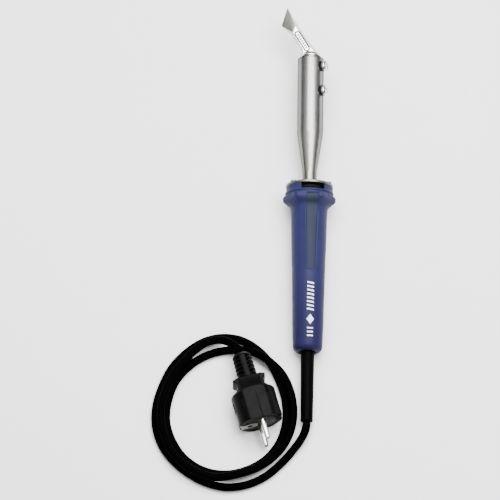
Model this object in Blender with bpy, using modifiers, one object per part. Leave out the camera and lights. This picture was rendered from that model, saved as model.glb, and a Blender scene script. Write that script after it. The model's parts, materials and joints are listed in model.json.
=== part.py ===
"""Mains soldering iron with a bent bit, lying on a table with its cord in a ring. Metres, +Z up.

The iron is drawn along its own axis: local Z is the station, measured in millimetres from the
barrel's mouth back towards the cord, local X is to the right and local Y is up. The plug has
the same kind of frame, with its stations measured from its face. Sizes below are millimetres.
"""

import bmesh
import bpy
from math import atan2, cos, degrees, pi, radians, sin
from mathutils import Matrix, Vector

MM = 0.001
GAP = 0.3
NAME = "soldering_iron"

# Where the iron lies: it rests on the flat of its hexagonal flange and on the tail of its handle.
FLANGE_FLAT = 20.6
FLANGE_REST = 131.3
TAIL_RADIUS = 12.52
TAIL_REST = 252.6
TILT = atan2(FLANGE_FLAT - TAIL_RADIUS, TAIL_REST - FLANGE_REST)
AXIS_X = 0.57
MOUTH_Y = 139.1
MOUTH_Z = FLANGE_REST * sin(TILT) + FLANGE_FLAT * cos(TILT) + 0.09

# Barrel
BARREL_R = 11.0
BARREL_WALL = 0.6
BARREL_LIP = 8.6
LIP_LENGTH = 3.4
TAPER_START = 68.4
TAPER_END = 100.8
NECK_R = 6.1
NECK_END = 137.2

# Bit
SHANK_R = 6.8
SHANK_END = 60.0
DOME_TOP = -6.4
ARM_HALF = 4.5
ARM_CHAMFER = 1.9
BLADE_POINT = (-20.4, 45.0)
BLADE_HEEL = (-24.3, 29.6)
BLADE_EDGE = 0.45
BLADE_SLOPE = radians(23)

# Heater
CORE_BORE = SHANK_R + GAP
CORE_START = 4.4
BUSH_END = 35.0
CORE_R = 7.8
CORE_END = 66.0
MICA_INNER = (8.05, 8.35, 36.0, 65.2)
MICA_OUTER = (9.75, 10.05, 36.0, 66.4)
COIL_R = 9.15
COIL_WIRE = 0.3
COIL_FRONT = 38.5
COIL_REAR = 63.0
COIL_TURNS = 5
CERAMIC = (69.0, 79.0)
LEAD_X = 4.0

# Clamp screws
CLAMP_STATIONS = {"front": 8.0, "rear": 30.0}
CLAMP_ANGLE = radians(30)
CLAMP_SHANK = 2.45
CLAMP_HOLE = 2.75
WASHER_TOP = 12.2
HEAD_TOP = 14.9
HEAD_R = 4.3

# Heat shield, collar and handle
SHIELD_R = 20.2
SHIELD = (113.9, 116.1)
COLLAR = (116.4, 121.6)
COLLAR_BORE = 14.5
FLANGE = (120.6, 132.4)
BORE_END = 134.6
TERMINAL_CAVITY = 11.3
CLAMP_CAVITY = 10.3
TAIL_CAVITY = 9.2
CAVITY_END = 248.0
HANDLE_END = 262.2
HANDLE_TURN = 8.5
SHIELD_SCREW_PCR = 17.3
SHIELD_SCREW_ANGLES = (60, 180, 300)
WINDOW_HALF = 9.3

# Cord, sleeve and inner wiring
CORD_R = 3.5
SLEEVE_END = 323.5
SLEEVE_FLANGE = 244.2
SHEATH_START = 199.6
BLOCK = (150.0, 166.0)
WIRE_HOLES = {"brown": -5.4, "earth": 0.0, "blue": 5.4}
WIRE_Y = -1.0
CLAMP_BAR = (205.5, 213.5)

# Plug
PLUG_FACE = (-38.0, -188.5)
PLUG_TURN = radians(196.5)
PLUG_R = 19.2
PLUG_FLAT = 17.3
PLUG_SHOULDER = 28.4
PANEL_END = 24.5
HEAD_END = 41.0
RELIEF_END = 64.4
PIN_R = 2.4
PIN_OFFSET = 9.5
EARTH_HOLE_X = 10.0

# The cord's route over the table, from the sleeve to the plug's strain relief: one turn outside,
# one inside it, then a third lying on those two.
ROUTE = [
    (0.55, -184.9, 7.9), (-0.4, -191.2, 7.4), (-3.9, -198.8, 6.2), (-10.9, -208.8, 4.7),
    (-22, -221.6, 3.6), (-34.8, -232.6, 3.5), (-50, -239.8, 3.5), (-67, -242.2, 3.5),
    (-83.3, -238.7, 3.5), (-98.2, -231, 3.5), (-112, -219.5, 3.5), (-122.8, -204, 3.5),
    (-127.9, -186.5, 3.5), (-127.6, -169.5, 3.5), (-123, -152.5, 3.5), (-114.3, -134.5, 3.5),
    (-101.2, -120.1, 3.5), (-87.2, -110.8, 3.5), (-72, -107.2, 3.5), (-57.2, -109, 3.5),
    (-43.9, -116.3, 3.5), (-32.4, -128, 3.5), (-23.6, -144.6, 3.5), (-17.8, -163.1, 3.5),
    (-16.9, -182.2, 3.5), (-21.6, -200, 3.5), (-33, -216, 3.5), (-49.5, -226.4, 3.5),
    (-67.5, -230.6, 3.5), (-86, -227.7, 3.5), (-102.1, -217.6, 3.5), (-113.3, -201.8, 3.5),
    (-118.9, -183.5, 3.5), (-117.4, -164.5, 3.5), (-111.2, -147, 3.5), (-100, -133.4, 3.5),
    (-86, -123.8, 3.5), (-69.2, -118.9, 3.8), (-52.6, -119.6, 6.2), (-40.6, -124.2, 9.8),
    (-31, -131.6, 11.6), (-21.4, -141.2, 10.8), (-14.4, -154.8, 9.4), (-10.9, -173.6, 8.6),
    (-13.4, -194, 9.4), (-23, -212.2, 10.8), (-39.3, -226, 11.6), (-58.1, -233.3, 11.8),
    (-77.4, -236, 11.8), (-95.6, -229.6, 11.4), (-111.8, -215.8, 11), (-121, -196.9, 10.8),
    (-123.6, -176.2, 10.6), (-119.6, -157, 10.1), (-112.7, -141.8, 9.5), (-102.9, -129.1, 9.1),
    (-94, -119.7, 9.6), (-84.3, -113.6, 10.8), (-74.2, -112.5, 12.7), (-65.6, -115.8, 14.8),
    (-59.8, -120.6, 16.4), (-56.8, -125.1, 17.2),
]
ROUTE_SPACING = 15.0


# ---------------------------------------------------------------- scene and helpers


def clear_scene():
    for old in list(bpy.data.objects):
        bpy.data.objects.remove(old, do_unlink=True)


clear_scene()
PARTS = bpy.data.collections.new(NAME)
CUTTERS = bpy.data.collections.new("cutters")
bpy.context.scene.collection.children.link(PARTS)
bpy.context.scene.collection.children.link(CUTTERS)


def material(name, color, metallic, roughness):
    made = bpy.data.materials.new(name)
    made.use_nodes = True
    shader = made.node_tree.nodes["Principled BSDF"]
    shader.inputs["Base Color"].default_value = (*color, 1.0)
    shader.inputs["Metallic"].default_value = metallic
    shader.inputs["Roughness"].default_value = roughness
    return made


PLATED = material("plated_copper", (0.72, 0.72, 0.70), 1.0, 0.3)
STEEL = material("satin_steel", (0.60, 0.59, 0.58), 1.0, 0.35)
ZINC = material("zinc_screws", (0.78, 0.78, 0.80), 1.0, 0.2)
DARK_STEEL = material("dark_steel", (0.08, 0.08, 0.09), 1.0, 0.45)
MICA = material("mica", (0.62, 0.55, 0.42), 0.0, 0.5)
NICHROME = material("nichrome", (0.35, 0.33, 0.31), 1.0, 0.4)
CERAMIC_WHITE = material("ceramic", (0.86, 0.84, 0.78), 0.0, 0.5)
PHENOLIC = material("phenolic", (0.18, 0.10, 0.06), 0.0, 0.5)
BLUE = material("blue_handle", (0.035, 0.06, 0.22), 0.0, 0.42)
BLACK_RUBBER = material("black_rubber", (0.012, 0.012, 0.012), 0.0, 0.6)
PLUG_PLASTIC = material("plug_plastic", (0.03, 0.03, 0.032), 0.0, 0.5)
NICKEL = material("nickel", (0.75, 0.73, 0.68), 1.0, 0.18)
WIRE_BROWN = material("wire_brown", (0.18, 0.07, 0.02), 0.0, 0.5)
WIRE_BLUE = material("wire_blue", (0.03, 0.16, 0.55), 0.0, 0.5)
WIRE_EARTH = material("wire_earth", (0.25, 0.45, 0.05), 0.0, 0.5)
GLASS_FIBRE = material("glass_fibre", (0.80, 0.78, 0.72), 0.0, 0.8)


def frame(name, location, rotation):
    """An empty that holds one group of pieces; location in millimetres."""
    empty = bpy.data.objects.new(name, None)
    empty.location = Vector(location) * MM
    empty.rotation_euler = rotation
    PARTS.objects.link(empty)
    return empty


IRON = frame("iron_axis", (AXIS_X, MOUTH_Y, MOUTH_Z), (pi / 2 + TILT, 0, 0))
PLUG = frame("plug_axis", (*PLUG_FACE, PLUG_FLAT), (pi / 2, 0, PLUG_TURN))


def add(name, data, parent, finish=None):
    """Links a new object under its frame, as a part with a finish or as a cutter without one."""
    made = bpy.data.objects.new(name, data)
    made.parent = parent
    if finish is None:
        CUTTERS.objects.link(made)
        made.hide_render = True
        made.display_type = "WIRE"
    else:
        PARTS.objects.link(made)
        data.materials.append(finish)
    return made


def mesh_of(name, shape, smooth=False):
    shape.normal_update()
    bmesh.ops.recalc_face_normals(shape, faces=shape.faces)
    mesh = bpy.data.meshes.new(name)
    shape.to_mesh(mesh)
    shape.free()
    if smooth:
        mesh.shade_smooth()
        mesh.set_sharp_from_angle(angle=radians(35))
    return mesh


def turned(name, profile, parent, finish=None, steps=40, ring=False):
    """A profile of (radius, station) points turned about local Z, outer side first, from high station to low."""
    mesh = bpy.data.meshes.new(name)
    points = [(r * MM, 0, z * MM) for r, z in profile]
    edges = [(i, i + 1) for i in range(len(points) - 1)]
    if ring:
        edges.append((len(points) - 1, 0))
    mesh.from_pydata(points, edges, [])
    made = add(name, mesh, parent, finish)
    screw = made.modifiers.new("turn", "SCREW")
    screw.axis = "Z"
    screw.steps = steps
    screw.render_steps = steps
    screw.use_merge_vertices = True
    screw.merge_threshold = 0.00001
    screw.use_smooth_shade = True
    return made


def tube(name, bore, outer, ends, parent, finish, steps=36):
    low, high = ends
    profile = [(outer, high), (outer, low), (bore, low), (bore, high)]
    return turned(name, profile, parent, finish, steps, ring=True)


def rod(name, radius, start, end, parent, finish=None, segments=24):
    """A cylinder between two points given in millimetres."""
    start, end = Vector(start) * MM, Vector(end) * MM
    along = end - start
    place = Matrix.Translation((start + end) / 2) @ along.to_track_quat("Z", "Y").to_matrix().to_4x4()
    shape = bmesh.new()
    bmesh.ops.create_cone(
        shape, cap_ends=True, segments=segments, radius1=radius * MM, radius2=radius * MM,
        depth=along.length, matrix=place,
    )
    return add(name, mesh_of(name, shape, smooth=True), parent, finish)


def box(name, low, high, parent, finish=None, bevel=0.0, turn=0.0):
    """A box between two corners in millimetres, turned about local Z, with rounded edges if asked."""
    low, high = Vector(low) * MM, Vector(high) * MM
    size = high - low
    place = Matrix.Rotation(turn, 4, "Z") @ Matrix.Translation((low + high) / 2)
    shape = bmesh.new()
    bmesh.ops.create_cube(shape, size=1.0, matrix=place @ Matrix.Diagonal((*size, 1.0)))
    made = add(name, mesh_of(name, shape), parent, finish)
    if bevel:
        soften(made, bevel)
    return made


def soften(made, width, segments=2):
    edge = made.modifiers.new("rounded", "BEVEL")
    edge.width = width * MM
    edge.segments = segments
    edge.limit_method = "ANGLE"
    edge.angle_limit = radians(40)


def boolean(made, other, operation="DIFFERENCE"):
    """Cuts or joins another object, which then lives with the cutters."""
    step = made.modifiers.new(operation.lower(), "BOOLEAN")
    step.operation = operation
    step.solver = "EXACT"
    step.object = other
    return made


def smooth_route(points, spacing):
    """Points every spacing millimetres along a smooth curve through the given ones."""
    points = [Vector(p) for p in points]
    reach = [0.0]
    for a, b in zip(points, points[1:]):
        reach.append(reach[-1] + (b - a).length)
    slope = [None] * len(points)
    for i in range(1, len(points) - 1):
        before, after = reach[i] - reach[i - 1], reach[i + 1] - reach[i]
        ahead = (points[i + 1] - points[i]) / after
        behind = (points[i] - points[i - 1]) / before
        slope[i] = (behind * after + ahead * before) / (before + after)
    slope[0] = 2 * (points[1] - points[0]) / reach[1] - slope[1]
    slope[-1] = 2 * (points[-1] - points[-2]) / (reach[-1] - reach[-2]) - slope[-2]
    fine = []
    for i in range(len(points) - 1):
        step = reach[i + 1] - reach[i]
        for k in range(20):
            s = k / 20
            fine.append(
                (2 * s**3 - 3 * s**2 + 1) * points[i] + (s**3 - 2 * s**2 + s) * step * slope[i]
                + (3 * s**2 - 2 * s**3) * points[i + 1] + (s**3 - s**2) * step * slope[i + 1]
            )
    fine.append(points[-1])
    length = sum((b - a).length for a, b in zip(fine, fine[1:]))
    pitch = length / round(length / spacing)
    spaced, carried = [fine[0]], 0.0
    for a, b in zip(fine, fine[1:]):
        piece = (b - a).length
        while carried + piece >= pitch - 1e-6:
            a = a.lerp(b, (pitch - carried) / piece)
            piece = (b - a).length
            spaced.append(a)
            carried = 0.0
            if piece < 1e-9:
                break
        carried += piece
    spaced[-1] = fine[-1]
    return spaced


def wire(name, points, radius, parent, finish, resolution=2):
    """A round wire through the points, in millimetres."""
    curve = bpy.data.curves.new(name, "CURVE")
    curve.dimensions = "3D"
    curve.bevel_depth = radius * MM
    curve.bevel_resolution = resolution
    curve.render_resolution_u = 0
    curve.use_fill_caps = True
    spline = curve.splines.new("POLY")
    spline.points.add(len(points) - 1)
    for knot, point in zip(spline.points, points):
        knot.co = (*(Vector(point) * MM), 1.0)
    return add(name, curve, parent, finish)


def flat(name, outline, half, chamfer, place, parent, finish=None):
    """A 2D outline in millimetres, filled, as a mesh of the given half thickness with chamfered edges."""
    curve = bpy.data.curves.new(name, "CURVE")
    curve.dimensions = "2D"
    curve.fill_mode = "BOTH"
    curve.extrude = (half - chamfer) * MM
    curve.bevel_depth = chamfer * MM
    curve.bevel_resolution = 0
    curve.offset = -chamfer * MM
    curve.render_resolution_u = 0
    spline = curve.splines.new("POLY")
    spline.points.add(len(outline) - 1)
    for knot, (x, y) in zip(spline.points, outline):
        knot.co = (x * MM, y * MM, 0, 1)
    spline.use_cyclic_u = True
    drawn = bpy.data.objects.new(name + "_outline", curve)
    bpy.context.scene.collection.objects.link(drawn)
    graph = bpy.context.evaluated_depsgraph_get()
    mesh = bpy.data.meshes.new_from_object(drawn.evaluated_get(graph))
    bpy.data.objects.remove(drawn, do_unlink=True)
    shape = bmesh.new()
    shape.from_mesh(mesh)
    bmesh.ops.remove_doubles(shape, verts=shape.verts, dist=0.00001)
    bmesh.ops.transform(shape, matrix=place, verts=shape.verts)
    return add(name, mesh_of(name, shape), parent, finish)


def arc(centre, radii, first, last, count):
    """Points on an ellipse from one angle to another, in degrees."""
    step = (last - first) / (count - 1)
    angles = [radians(first + step * i) for i in range(count)]
    return [(centre[0] + radii[0] * cos(a), centre[1] + radii[1] * sin(a)) for a in angles]


def around(radius, angle, station):
    """A point at an angle from local X towards local Y."""
    return Vector((radius * cos(angle), radius * sin(angle), station))


# ---------------------------------------------------------------- bit and barrel


def soldering_bit():
    dome = arc((0, -1.0), (SHANK_R, -1.0 - DOME_TOP), 0, -90, 8)
    dome[-1] = (0, DOME_TOP)
    profile = [(0, SHANK_END), (SHANK_R - 1, SHANK_END), (SHANK_R, SHANK_END - 1), *dome]
    bit = turned("soldering_bit", profile, IRON, PLATED, steps=40)
    right = [(-1.0, 13.6), (1.6, 9.6), (3.6, 6.4), (5.0, 2.6), (5.2, -4.0)]
    left = [(-5.2, -4.0), (-5.6, 3.0), (-7.2, 8.6), (-15.9, 24.4)]
    outline = [BLADE_POINT, *right, *left, BLADE_HEEL]
    upright = Matrix.Rotation(-pi / 2, 4, "X")
    arm = flat("bit_arm", outline, ARM_HALF, ARM_CHAMFER, upright, IRON)
    boolean(bit, arm, "UNION")
    for side in (1, -1):
        boolean(bit, blade_cutter(side))
    return bit


def blade_cutter(side):
    """A block whose one face is the blade's facet: it starts at the edge and rises away from it."""
    point = Vector((BLADE_POINT[0], 0, -BLADE_POINT[1]))
    heel = Vector((BLADE_HEEL[0], 0, -BLADE_HEEL[1]))
    along = (point - heel).normalized()
    up = Vector((0, side, 0))
    inward = along.cross(up).normalized()
    if inward.x < 0:
        inward = -inward
    slope = inward * cos(BLADE_SLOPE) + up * sin(BLADE_SLOPE)
    outward = up * cos(BLADE_SLOPE) - inward * sin(BLADE_SLOPE)
    size = Vector((30, 44, 12))
    middle = (point + heel) / 2 + up * BLADE_EDGE + slope * 16 + outward * size.z / 2
    place = Matrix((along, slope, outward)).transposed().to_4x4()
    place.translation = middle * MM
    shape = bmesh.new()
    bmesh.ops.create_cube(shape, size=1.0, matrix=place @ Matrix.Diagonal((*(size * MM), 1.0)))
    name = "facet_cutter_upper" if side > 0 else "facet_cutter_lower"
    return add(name, mesh_of(name, shape), IRON)


def barrel_radius(station, wall=0.0):
    """The barrel's outer radius at a station behind the lip, less a wall."""
    share = (station - TAPER_START) / (TAPER_END - TAPER_START)
    share = min(max(share, 0.0), 1.0)
    return BARREL_R + (NECK_R - BARREL_R) * share - wall


def barrel_tube():
    lip = arc((BARREL_LIP, LIP_LENGTH), (BARREL_R - BARREL_LIP, -LIP_LENGTH), 0, 90, 7)
    inner = arc((BARREL_LIP, LIP_LENGTH + 0.2), (BARREL_R - BARREL_LIP - BARREL_WALL, 0.2 - LIP_LENGTH), 90, 0, 5)
    bore = NECK_R - BARREL_WALL
    profile = [(NECK_R, NECK_END), (NECK_R, TAPER_END), (BARREL_R, TAPER_START), *lip, *inner]
    profile += [(BARREL_R - BARREL_WALL, TAPER_START), (bore, TAPER_END), (bore, NECK_END)]
    barrel = turned("barrel_tube", profile, IRON, STEEL, steps=40, ring=True)
    for place, station in CLAMP_STATIONS.items():
        boolean(barrel, clamp_hole(place + "_barrel", station))
    return barrel


def clamp_hole(name, station):
    inner = around(SHANK_R - 2, CLAMP_ANGLE, station)
    outer = around(BARREL_R + 3, CLAMP_ANGLE, station)
    return rod(name + "_hole", CLAMP_HOLE, inner, outer, IRON)


def heater_core():
    outer = BARREL_R - BARREL_WALL - GAP
    profile = [(CORE_R, CORE_END), (CORE_R, BUSH_END), (outer, BUSH_END), (outer, CORE_START + 1.2)]
    profile += [(outer - 1.2, CORE_START), (CORE_BORE, CORE_START), (CORE_BORE, CORE_END)]
    core = turned("heater_core", profile, IRON, STEEL, steps=40, ring=True)
    for place, station in CLAMP_STATIONS.items():
        boolean(core, clamp_hole(place + "_core", station))
    return core


def heating_coil():
    """A wire wound forward and back side by side, so that both its ends are at the rear."""
    per_turn = 14
    pitch = (COIL_REAR - COIL_FRONT) / COIL_TURNS
    count = COIL_TURNS * per_turn
    forward = []
    back = []
    for i in range(count + 1):
        turn = i / per_turn
        forward.append(around(COIL_R, 2 * pi * turn, COIL_REAR - pitch * turn))
    for i in range(-per_turn // 2, count + 1):
        turn = i / per_turn
        back.append(around(COIL_R, 2 * pi * turn, COIL_REAR - pitch * (turn + 0.5)))
    hairpin = around(COIL_R, 2 * pi * (COIL_TURNS + 0.35 / per_turn), COIL_FRONT - pitch * 0.25)
    tail = [(COIL_R, 0, 66.4), (COIL_R - 1.2, 0, 67.6), (LEAD_X + 1.2, 0, 68.2), (LEAD_X, 0, 68.9), (LEAD_X, 0, 70.0)]
    other = [(-x, y, z) for x, y, z in tail]
    points = [*reversed(tail), *forward, hairpin, *reversed(back), *other]
    return wire("heating_coil", points, COIL_WIRE, IRON, NICHROME, resolution=1)


def ceramic_end_bush():
    low, high = CERAMIC
    wall = BARREL_WALL + 0.6
    profile = [(0, high), (barrel_radius(high, wall), high), (barrel_radius(low, wall), low), (0, low)]
    bush = turned("ceramic_end_bush", profile, IRON, CERAMIC_WHITE, steps=32)
    for side in (1, -1):
        hole = rod(
            f"lead_hole_{side}", 1.35, (side * LEAD_X, 0, low - 1), (side * LEAD_X, 0, high + 1), IRON, segments=14
        )
        boolean(bush, hole)
    return bush


def clamp_screws():
    out = around(1, CLAMP_ANGLE, 0)
    for place, station in CLAMP_STATIONS.items():
        centre = Vector((0, 0, station))
        washer = frame(place + "_clamp_axis", centre, (0, pi / 2, CLAMP_ANGLE))
        washer.parent = IRON
        tube(place + "_clamp_washer", CLAMP_SHANK + GAP, HEAD_R + 0.3, (BARREL_R + GAP, WASHER_TOP), washer, DARK_STEEL, 28)
        low = WASHER_TOP + GAP
        profile = [(0, HEAD_TOP), (HEAD_R - 0.8, HEAD_TOP), (HEAD_R, HEAD_TOP - 0.8), (HEAD_R, low)]
        profile += [(CLAMP_SHANK, low), (CLAMP_SHANK, SHANK_R + 1.0), (1.7, SHANK_R + GAP), (0, SHANK_R + GAP)]
        screw = turned(place + "_clamp_screw", profile, washer, ZINC, steps=28)
        slot = box(place + "_slot", (-0.6, -6, HEAD_TOP - 1.2), (0.6, 6, HEAD_TOP + 1), washer)
        boolean(screw, slot)
    return out


# ---------------------------------------------------------------- heat shield and handle


def heat_shield():
    low, high = SHIELD
    edge = 0.6
    profile = [(SHIELD_R - edge, high), (SHIELD_R, high - edge), (SHIELD_R, low + edge), (SHIELD_R - edge, low)]
    profile += [(NECK_R + GAP, low), (NECK_R + GAP, high)]
    disc = turned("heat_shield_disc", profile, IRON, STEEL, steps=50, ring=True)
    for number, angle in enumerate(SHIELD_SCREW_ANGLES, 1):
        middle = around(SHIELD_SCREW_PCR, radians(90 - angle - HANDLE_TURN), 0)
        ends = (middle + Vector((0, 0, low - 2)), middle + Vector((0, 0, high + 2)))
        boolean(disc, rod(f"shield_hole_{number}", 1.85, *ends, IRON, segments=15))
        shield_screw(number, middle)


def shield_screw(number, middle):
    low = SHIELD[0]
    place = frame(f"shield_screw_axis_{number}", middle, (0, 0, 0))
    place.parent = IRON
    head = [(2.7, low - GAP), (2.7, low - 1.2), (1.9, low - 1.9), (0, low - 2.1)]
    profile = [(0, 124.0), (1.5, 124.0), (1.5, low - GAP), *head]
    screw = turned(f"shield_screw_{number}", profile, place, ZINC, steps=16)
    boolean(screw, box(f"shield_slot_{number}", (-0.4, -4, low - 3), (0.4, 4, low - 1.3), place))


def handle_outline():
    """The grip's outer side as (radius, station), from the tail's hole forward to the collar's face."""
    tail = arc((8.2, 257.2), (4.1, 5.0), 90, 0, 6)
    flare = [(13.0, 240.0), (13.75, 215.0), (14.4, 184.0), (14.95, 168.0), (15.5, 149.0), (16.3, 140.0), (18.0, 134.0)]
    return [*tail, *flare, (19.8, 129.5), (SHIELD_R, 125.5), (SHIELD_R, COLLAR[0])]


def handle():
    inside = [(COLLAR_BORE, COLLAR[0]), (COLLAR_BORE, COLLAR[1] + 0.3), (14.0, COLLAR[1] + 0.3), (14.0, BORE_END)]
    inside += [(TERMINAL_CAVITY, BORE_END), (TERMINAL_CAVITY, 190.0), (CLAMP_CAVITY, 192.0), (CLAMP_CAVITY, 217.0)]
    inside += [(TAIL_CAVITY, 219.0), (TAIL_CAVITY, CAVITY_END), (6.2, CAVITY_END), (6.2, HANDLE_END)]
    grip = turned("handle", [*handle_outline(), *inside], IRON, BLUE, steps=42, ring=True)
    boolean(grip, flange_ring(), "UNION")
    for number, angle in enumerate((0, 120, 240), 1):
        low = (-WINDOW_HALF, 10, COLLAR[0] - 2)
        high = (WINDOW_HALF, 26, COLLAR[1] - 0.2)
        boolean(grip, box(f"vent_{number}", low, high, IRON, turn=radians(-angle - HANDLE_TURN)))
    for number, angle in enumerate(SHIELD_SCREW_ANGLES, 1):
        middle = around(SHIELD_SCREW_PCR, radians(90 - angle - HANDLE_TURN), 0)
        ends = (middle + Vector((0, 0, 114)), middle + Vector((0, 0, 125.5)))
        boolean(grip, rod(f"post_hole_{number}", 1.8, *ends, IRON, segments=14))
    for side in (1, -1):
        boolean(grip, flute_cutter(side))
    return grip


def flange_ring():
    """The anti-roll hexagon with its flats up and down, bored so that it only meets the grip's wall."""
    low, high = FLANGE
    place = Matrix.Translation((0, 0, (low + high) / 2 * MM)) @ Matrix.Rotation(0, 4, "Z")
    corner = FLANGE_FLAT / cos(pi / 6)
    shape = bmesh.new()
    bmesh.ops.create_cone(
        shape, cap_ends=True, segments=6, radius1=corner * MM, radius2=corner * MM,
        depth=(high - low) * MM, matrix=place @ Matrix.Rotation(pi / 6, 4, "Z"),
    )
    ring = add("flange_hexagon", mesh_of("flange_hexagon", shape), IRON)
    soften(ring, 2.2, 3)
    boolean(ring, rod("flange_bore", 17.4, (0, 0, low - 2), (0, 0, high + 2), IRON, segments=40))
    return ring


def flute_cutter(side):
    """A shallow tapering channel along the grip, above and below."""
    near, far = 141.0, 192.7
    wide, narrow = 4.4, 3.5
    shape = bmesh.new()
    bmesh.ops.create_cone(
        shape, cap_ends=True, segments=4, radius1=1, radius2=1, depth=1, matrix=Matrix.Rotation(pi / 4, 4, "Z")
    )
    for vert in shape.verts:
        back = vert.co.z > 0
        half = narrow if back else wide
        station = far if back else near
        floor = 13.3 if back else 15.3
        height = floor if vert.co.y < 0 else 30
        vert.co = Vector((half if vert.co.x > 0 else -half, side * height, station)) * MM
    bmesh.ops.transform(shape, matrix=Matrix.Rotation(radians(-HANDLE_TURN), 4, "Z"), verts=shape.verts)
    name = "flute_upper" if side > 0 else "flute_lower"
    return add(name, mesh_of(name, shape), IRON)


def front_insulator():
    bore = NECK_R + GAP
    tube("front_insulator", bore, 13.7, (COLLAR[1] + 0.6, BORE_END - GAP), IRON, PHENOLIC)
    tube("neck_flange", bore, 13.2, (SHIELD[1] + GAP, SHIELD[1] + 2.1), IRON, STEEL)
    tube("earth_ring", bore, 8.2, (BORE_END + 0.4, NECK_END - 0.2), IRON, ZINC, 28)


# ---------------------------------------------------------------- wiring inside the handle


def terminal_block():
    low, high = BLOCK
    block = box("terminal_block", (-8.6, -5.0, low), (8.6, 4.0, high), IRON, CERAMIC_WHITE, bevel=0.7)
    middle = (low + high) / 2
    for name, x in WIRE_HOLES.items():
        boolean(block, rod(f"{name}_wire_hole", 1.5, (x, WIRE_Y, low - 1), (x, WIRE_Y, high + 1), IRON, segments=12))
        boolean(block, rod(f"{name}_well", 2.0, (x, WIRE_Y, middle), (x, 6, middle), IRON, segments=16))
        screw = rod(f"terminal_screw_{name}", 1.7, (x, WIRE_Y + 1.45, middle), (x, 4.6, middle), IRON, NICKEL, 16)
        boolean(screw, box(f"terminal_slot_{name}", (x - 3, 3.9, middle - 0.3), (x + 3, 6, middle + 0.3), IRON))


def element_leads():
    low = BLOCK[0]
    for name, side in (("brown", -1), ("blue", 1)):
        hole = WIRE_HOLES[name]
        points = [
            (side * LEAD_X, 0, 70.5), (side * LEAD_X, 0, 80.0), (side * 3.6, 0, 86.0), (side * 2.7, 0, 96.0),
            (side * 2.6, 0, 106.0), (side * 2.6, 0, 120.0), (side * 2.6, 0, 136.0), (side * 3.2, -0.2, 140.0),
            (side * 4.8, -0.8, 145.5), (hole, WIRE_Y, 149.0), (hole, WIRE_Y, low + 4.5),
        ]
        wire(f"element_lead_{'left' if side < 0 else 'right'}", points, 1.0, IRON, GLASS_FIBRE)
    points = [(0, -7.2, NECK_END + 0.1), (0, -7.0, 139.5), (0, -5.2, 143.0), (0, -2.4, 146.5), (0, WIRE_Y, 149.5)]
    wire("earth_lead", [*points, (0, WIRE_Y, low + 4.5)], 1.0, IRON, WIRE_EARTH)


def cord_conductors():
    finishes = {"brown": WIRE_BROWN, "earth": WIRE_EARTH, "blue": WIRE_BLUE}
    bundle = {"brown": (-1.5, -0.9), "earth": (0, 1.75), "blue": (1.5, -0.9)}
    high = BLOCK[1]
    for name, x in WIRE_HOLES.items():
        near = bundle[name]
        points = [
            (x, WIRE_Y, high - 4.5), (x, WIRE_Y, high + 1.0), (x, WIRE_Y, high + 4.0),
            (x * 0.9 + near[0] * 0.1, WIRE_Y * 0.8 + near[1] * 0.2, 174.0),
            (x * 0.4 + near[0] * 0.6, WIRE_Y * 0.4 + near[1] * 0.6, 184.0),
            (near[0], near[1], 192.0), (near[0], near[1], SHEATH_START - GAP),
        ]
        wire(f"conductor_{name}", points, 1.1, IRON, finishes[name])


def cord_clamp():
    low, high = CLAMP_BAR
    groove = rod("clamp_groove", CORD_R + 0.25, (0, 0, low - 1), (0, 0, high + 1), IRON, segments=20)
    middle = (low + high) / 2
    upper = box("cord_clamp_upper", (-7.4, 0.3, low), (7.4, 4.8, high), IRON, PHENOLIC, bevel=0.6)
    lower = box("cord_clamp_lower", (-7.4, -4.8, low), (7.4, -0.3, high), IRON, PHENOLIC, bevel=0.6)
    boolean(upper, groove)
    boolean(lower, groove)
    for number, x in enumerate((-5.6, 5.6), 1):
        hole = rod(f"clamp_bar_hole_{number}", 1.5, (x, -3.6, middle), (x, 8, middle), IRON, segments=14)
        boolean(upper, hole)
        boolean(lower, hole)
        place = frame(f"clamp_bar_screw_axis_{number}", (x, 0, middle), (-pi / 2, 0, 0))
        place.parent = IRON
        profile = [(0, 6.5), (1.6, 6.5), (2.0, 6.0), (2.0, 5.1), (1.2, 5.1), (1.2, -3.2), (0, -3.2)]
        screw = turned(f"cord_clamp_screw_{number}", profile, place, ZINC, steps=16)
        boolean(screw, box(f"clamp_bar_slot_{number}", (-3, -0.3, 5.8), (3, 0.3, 8), place))


def bend_relief_sleeve():
    bore = CORD_R + GAP
    profile = [(5.1, SLEEVE_END), (5.4, SLEEVE_END - 0.5), (5.85, HANDLE_END), (5.85, CAVITY_END - GAP)]
    profile += [(8.4, CAVITY_END - GAP), (8.4, SLEEVE_FLANGE), (bore, SLEEVE_FLANGE), (bore, SLEEVE_END)]
    turned("bend_relief_sleeve", profile, IRON, BLACK_RUBBER, steps=32, ring=True)


def cord_in_handle():
    end = SLEEVE_END - 1.0
    profile = [(0, end), (CORD_R, end), (CORD_R, SHEATH_START), (0, SHEATH_START)]
    turned("cord_in_handle", profile, IRON, BLACK_RUBBER, steps=20)


def mains_cord():
    wire("mains_cord", smooth_route(ROUTE, ROUTE_SPACING), CORD_R, None, BLACK_RUBBER, 2)


# ---------------------------------------------------------------- plug


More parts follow.
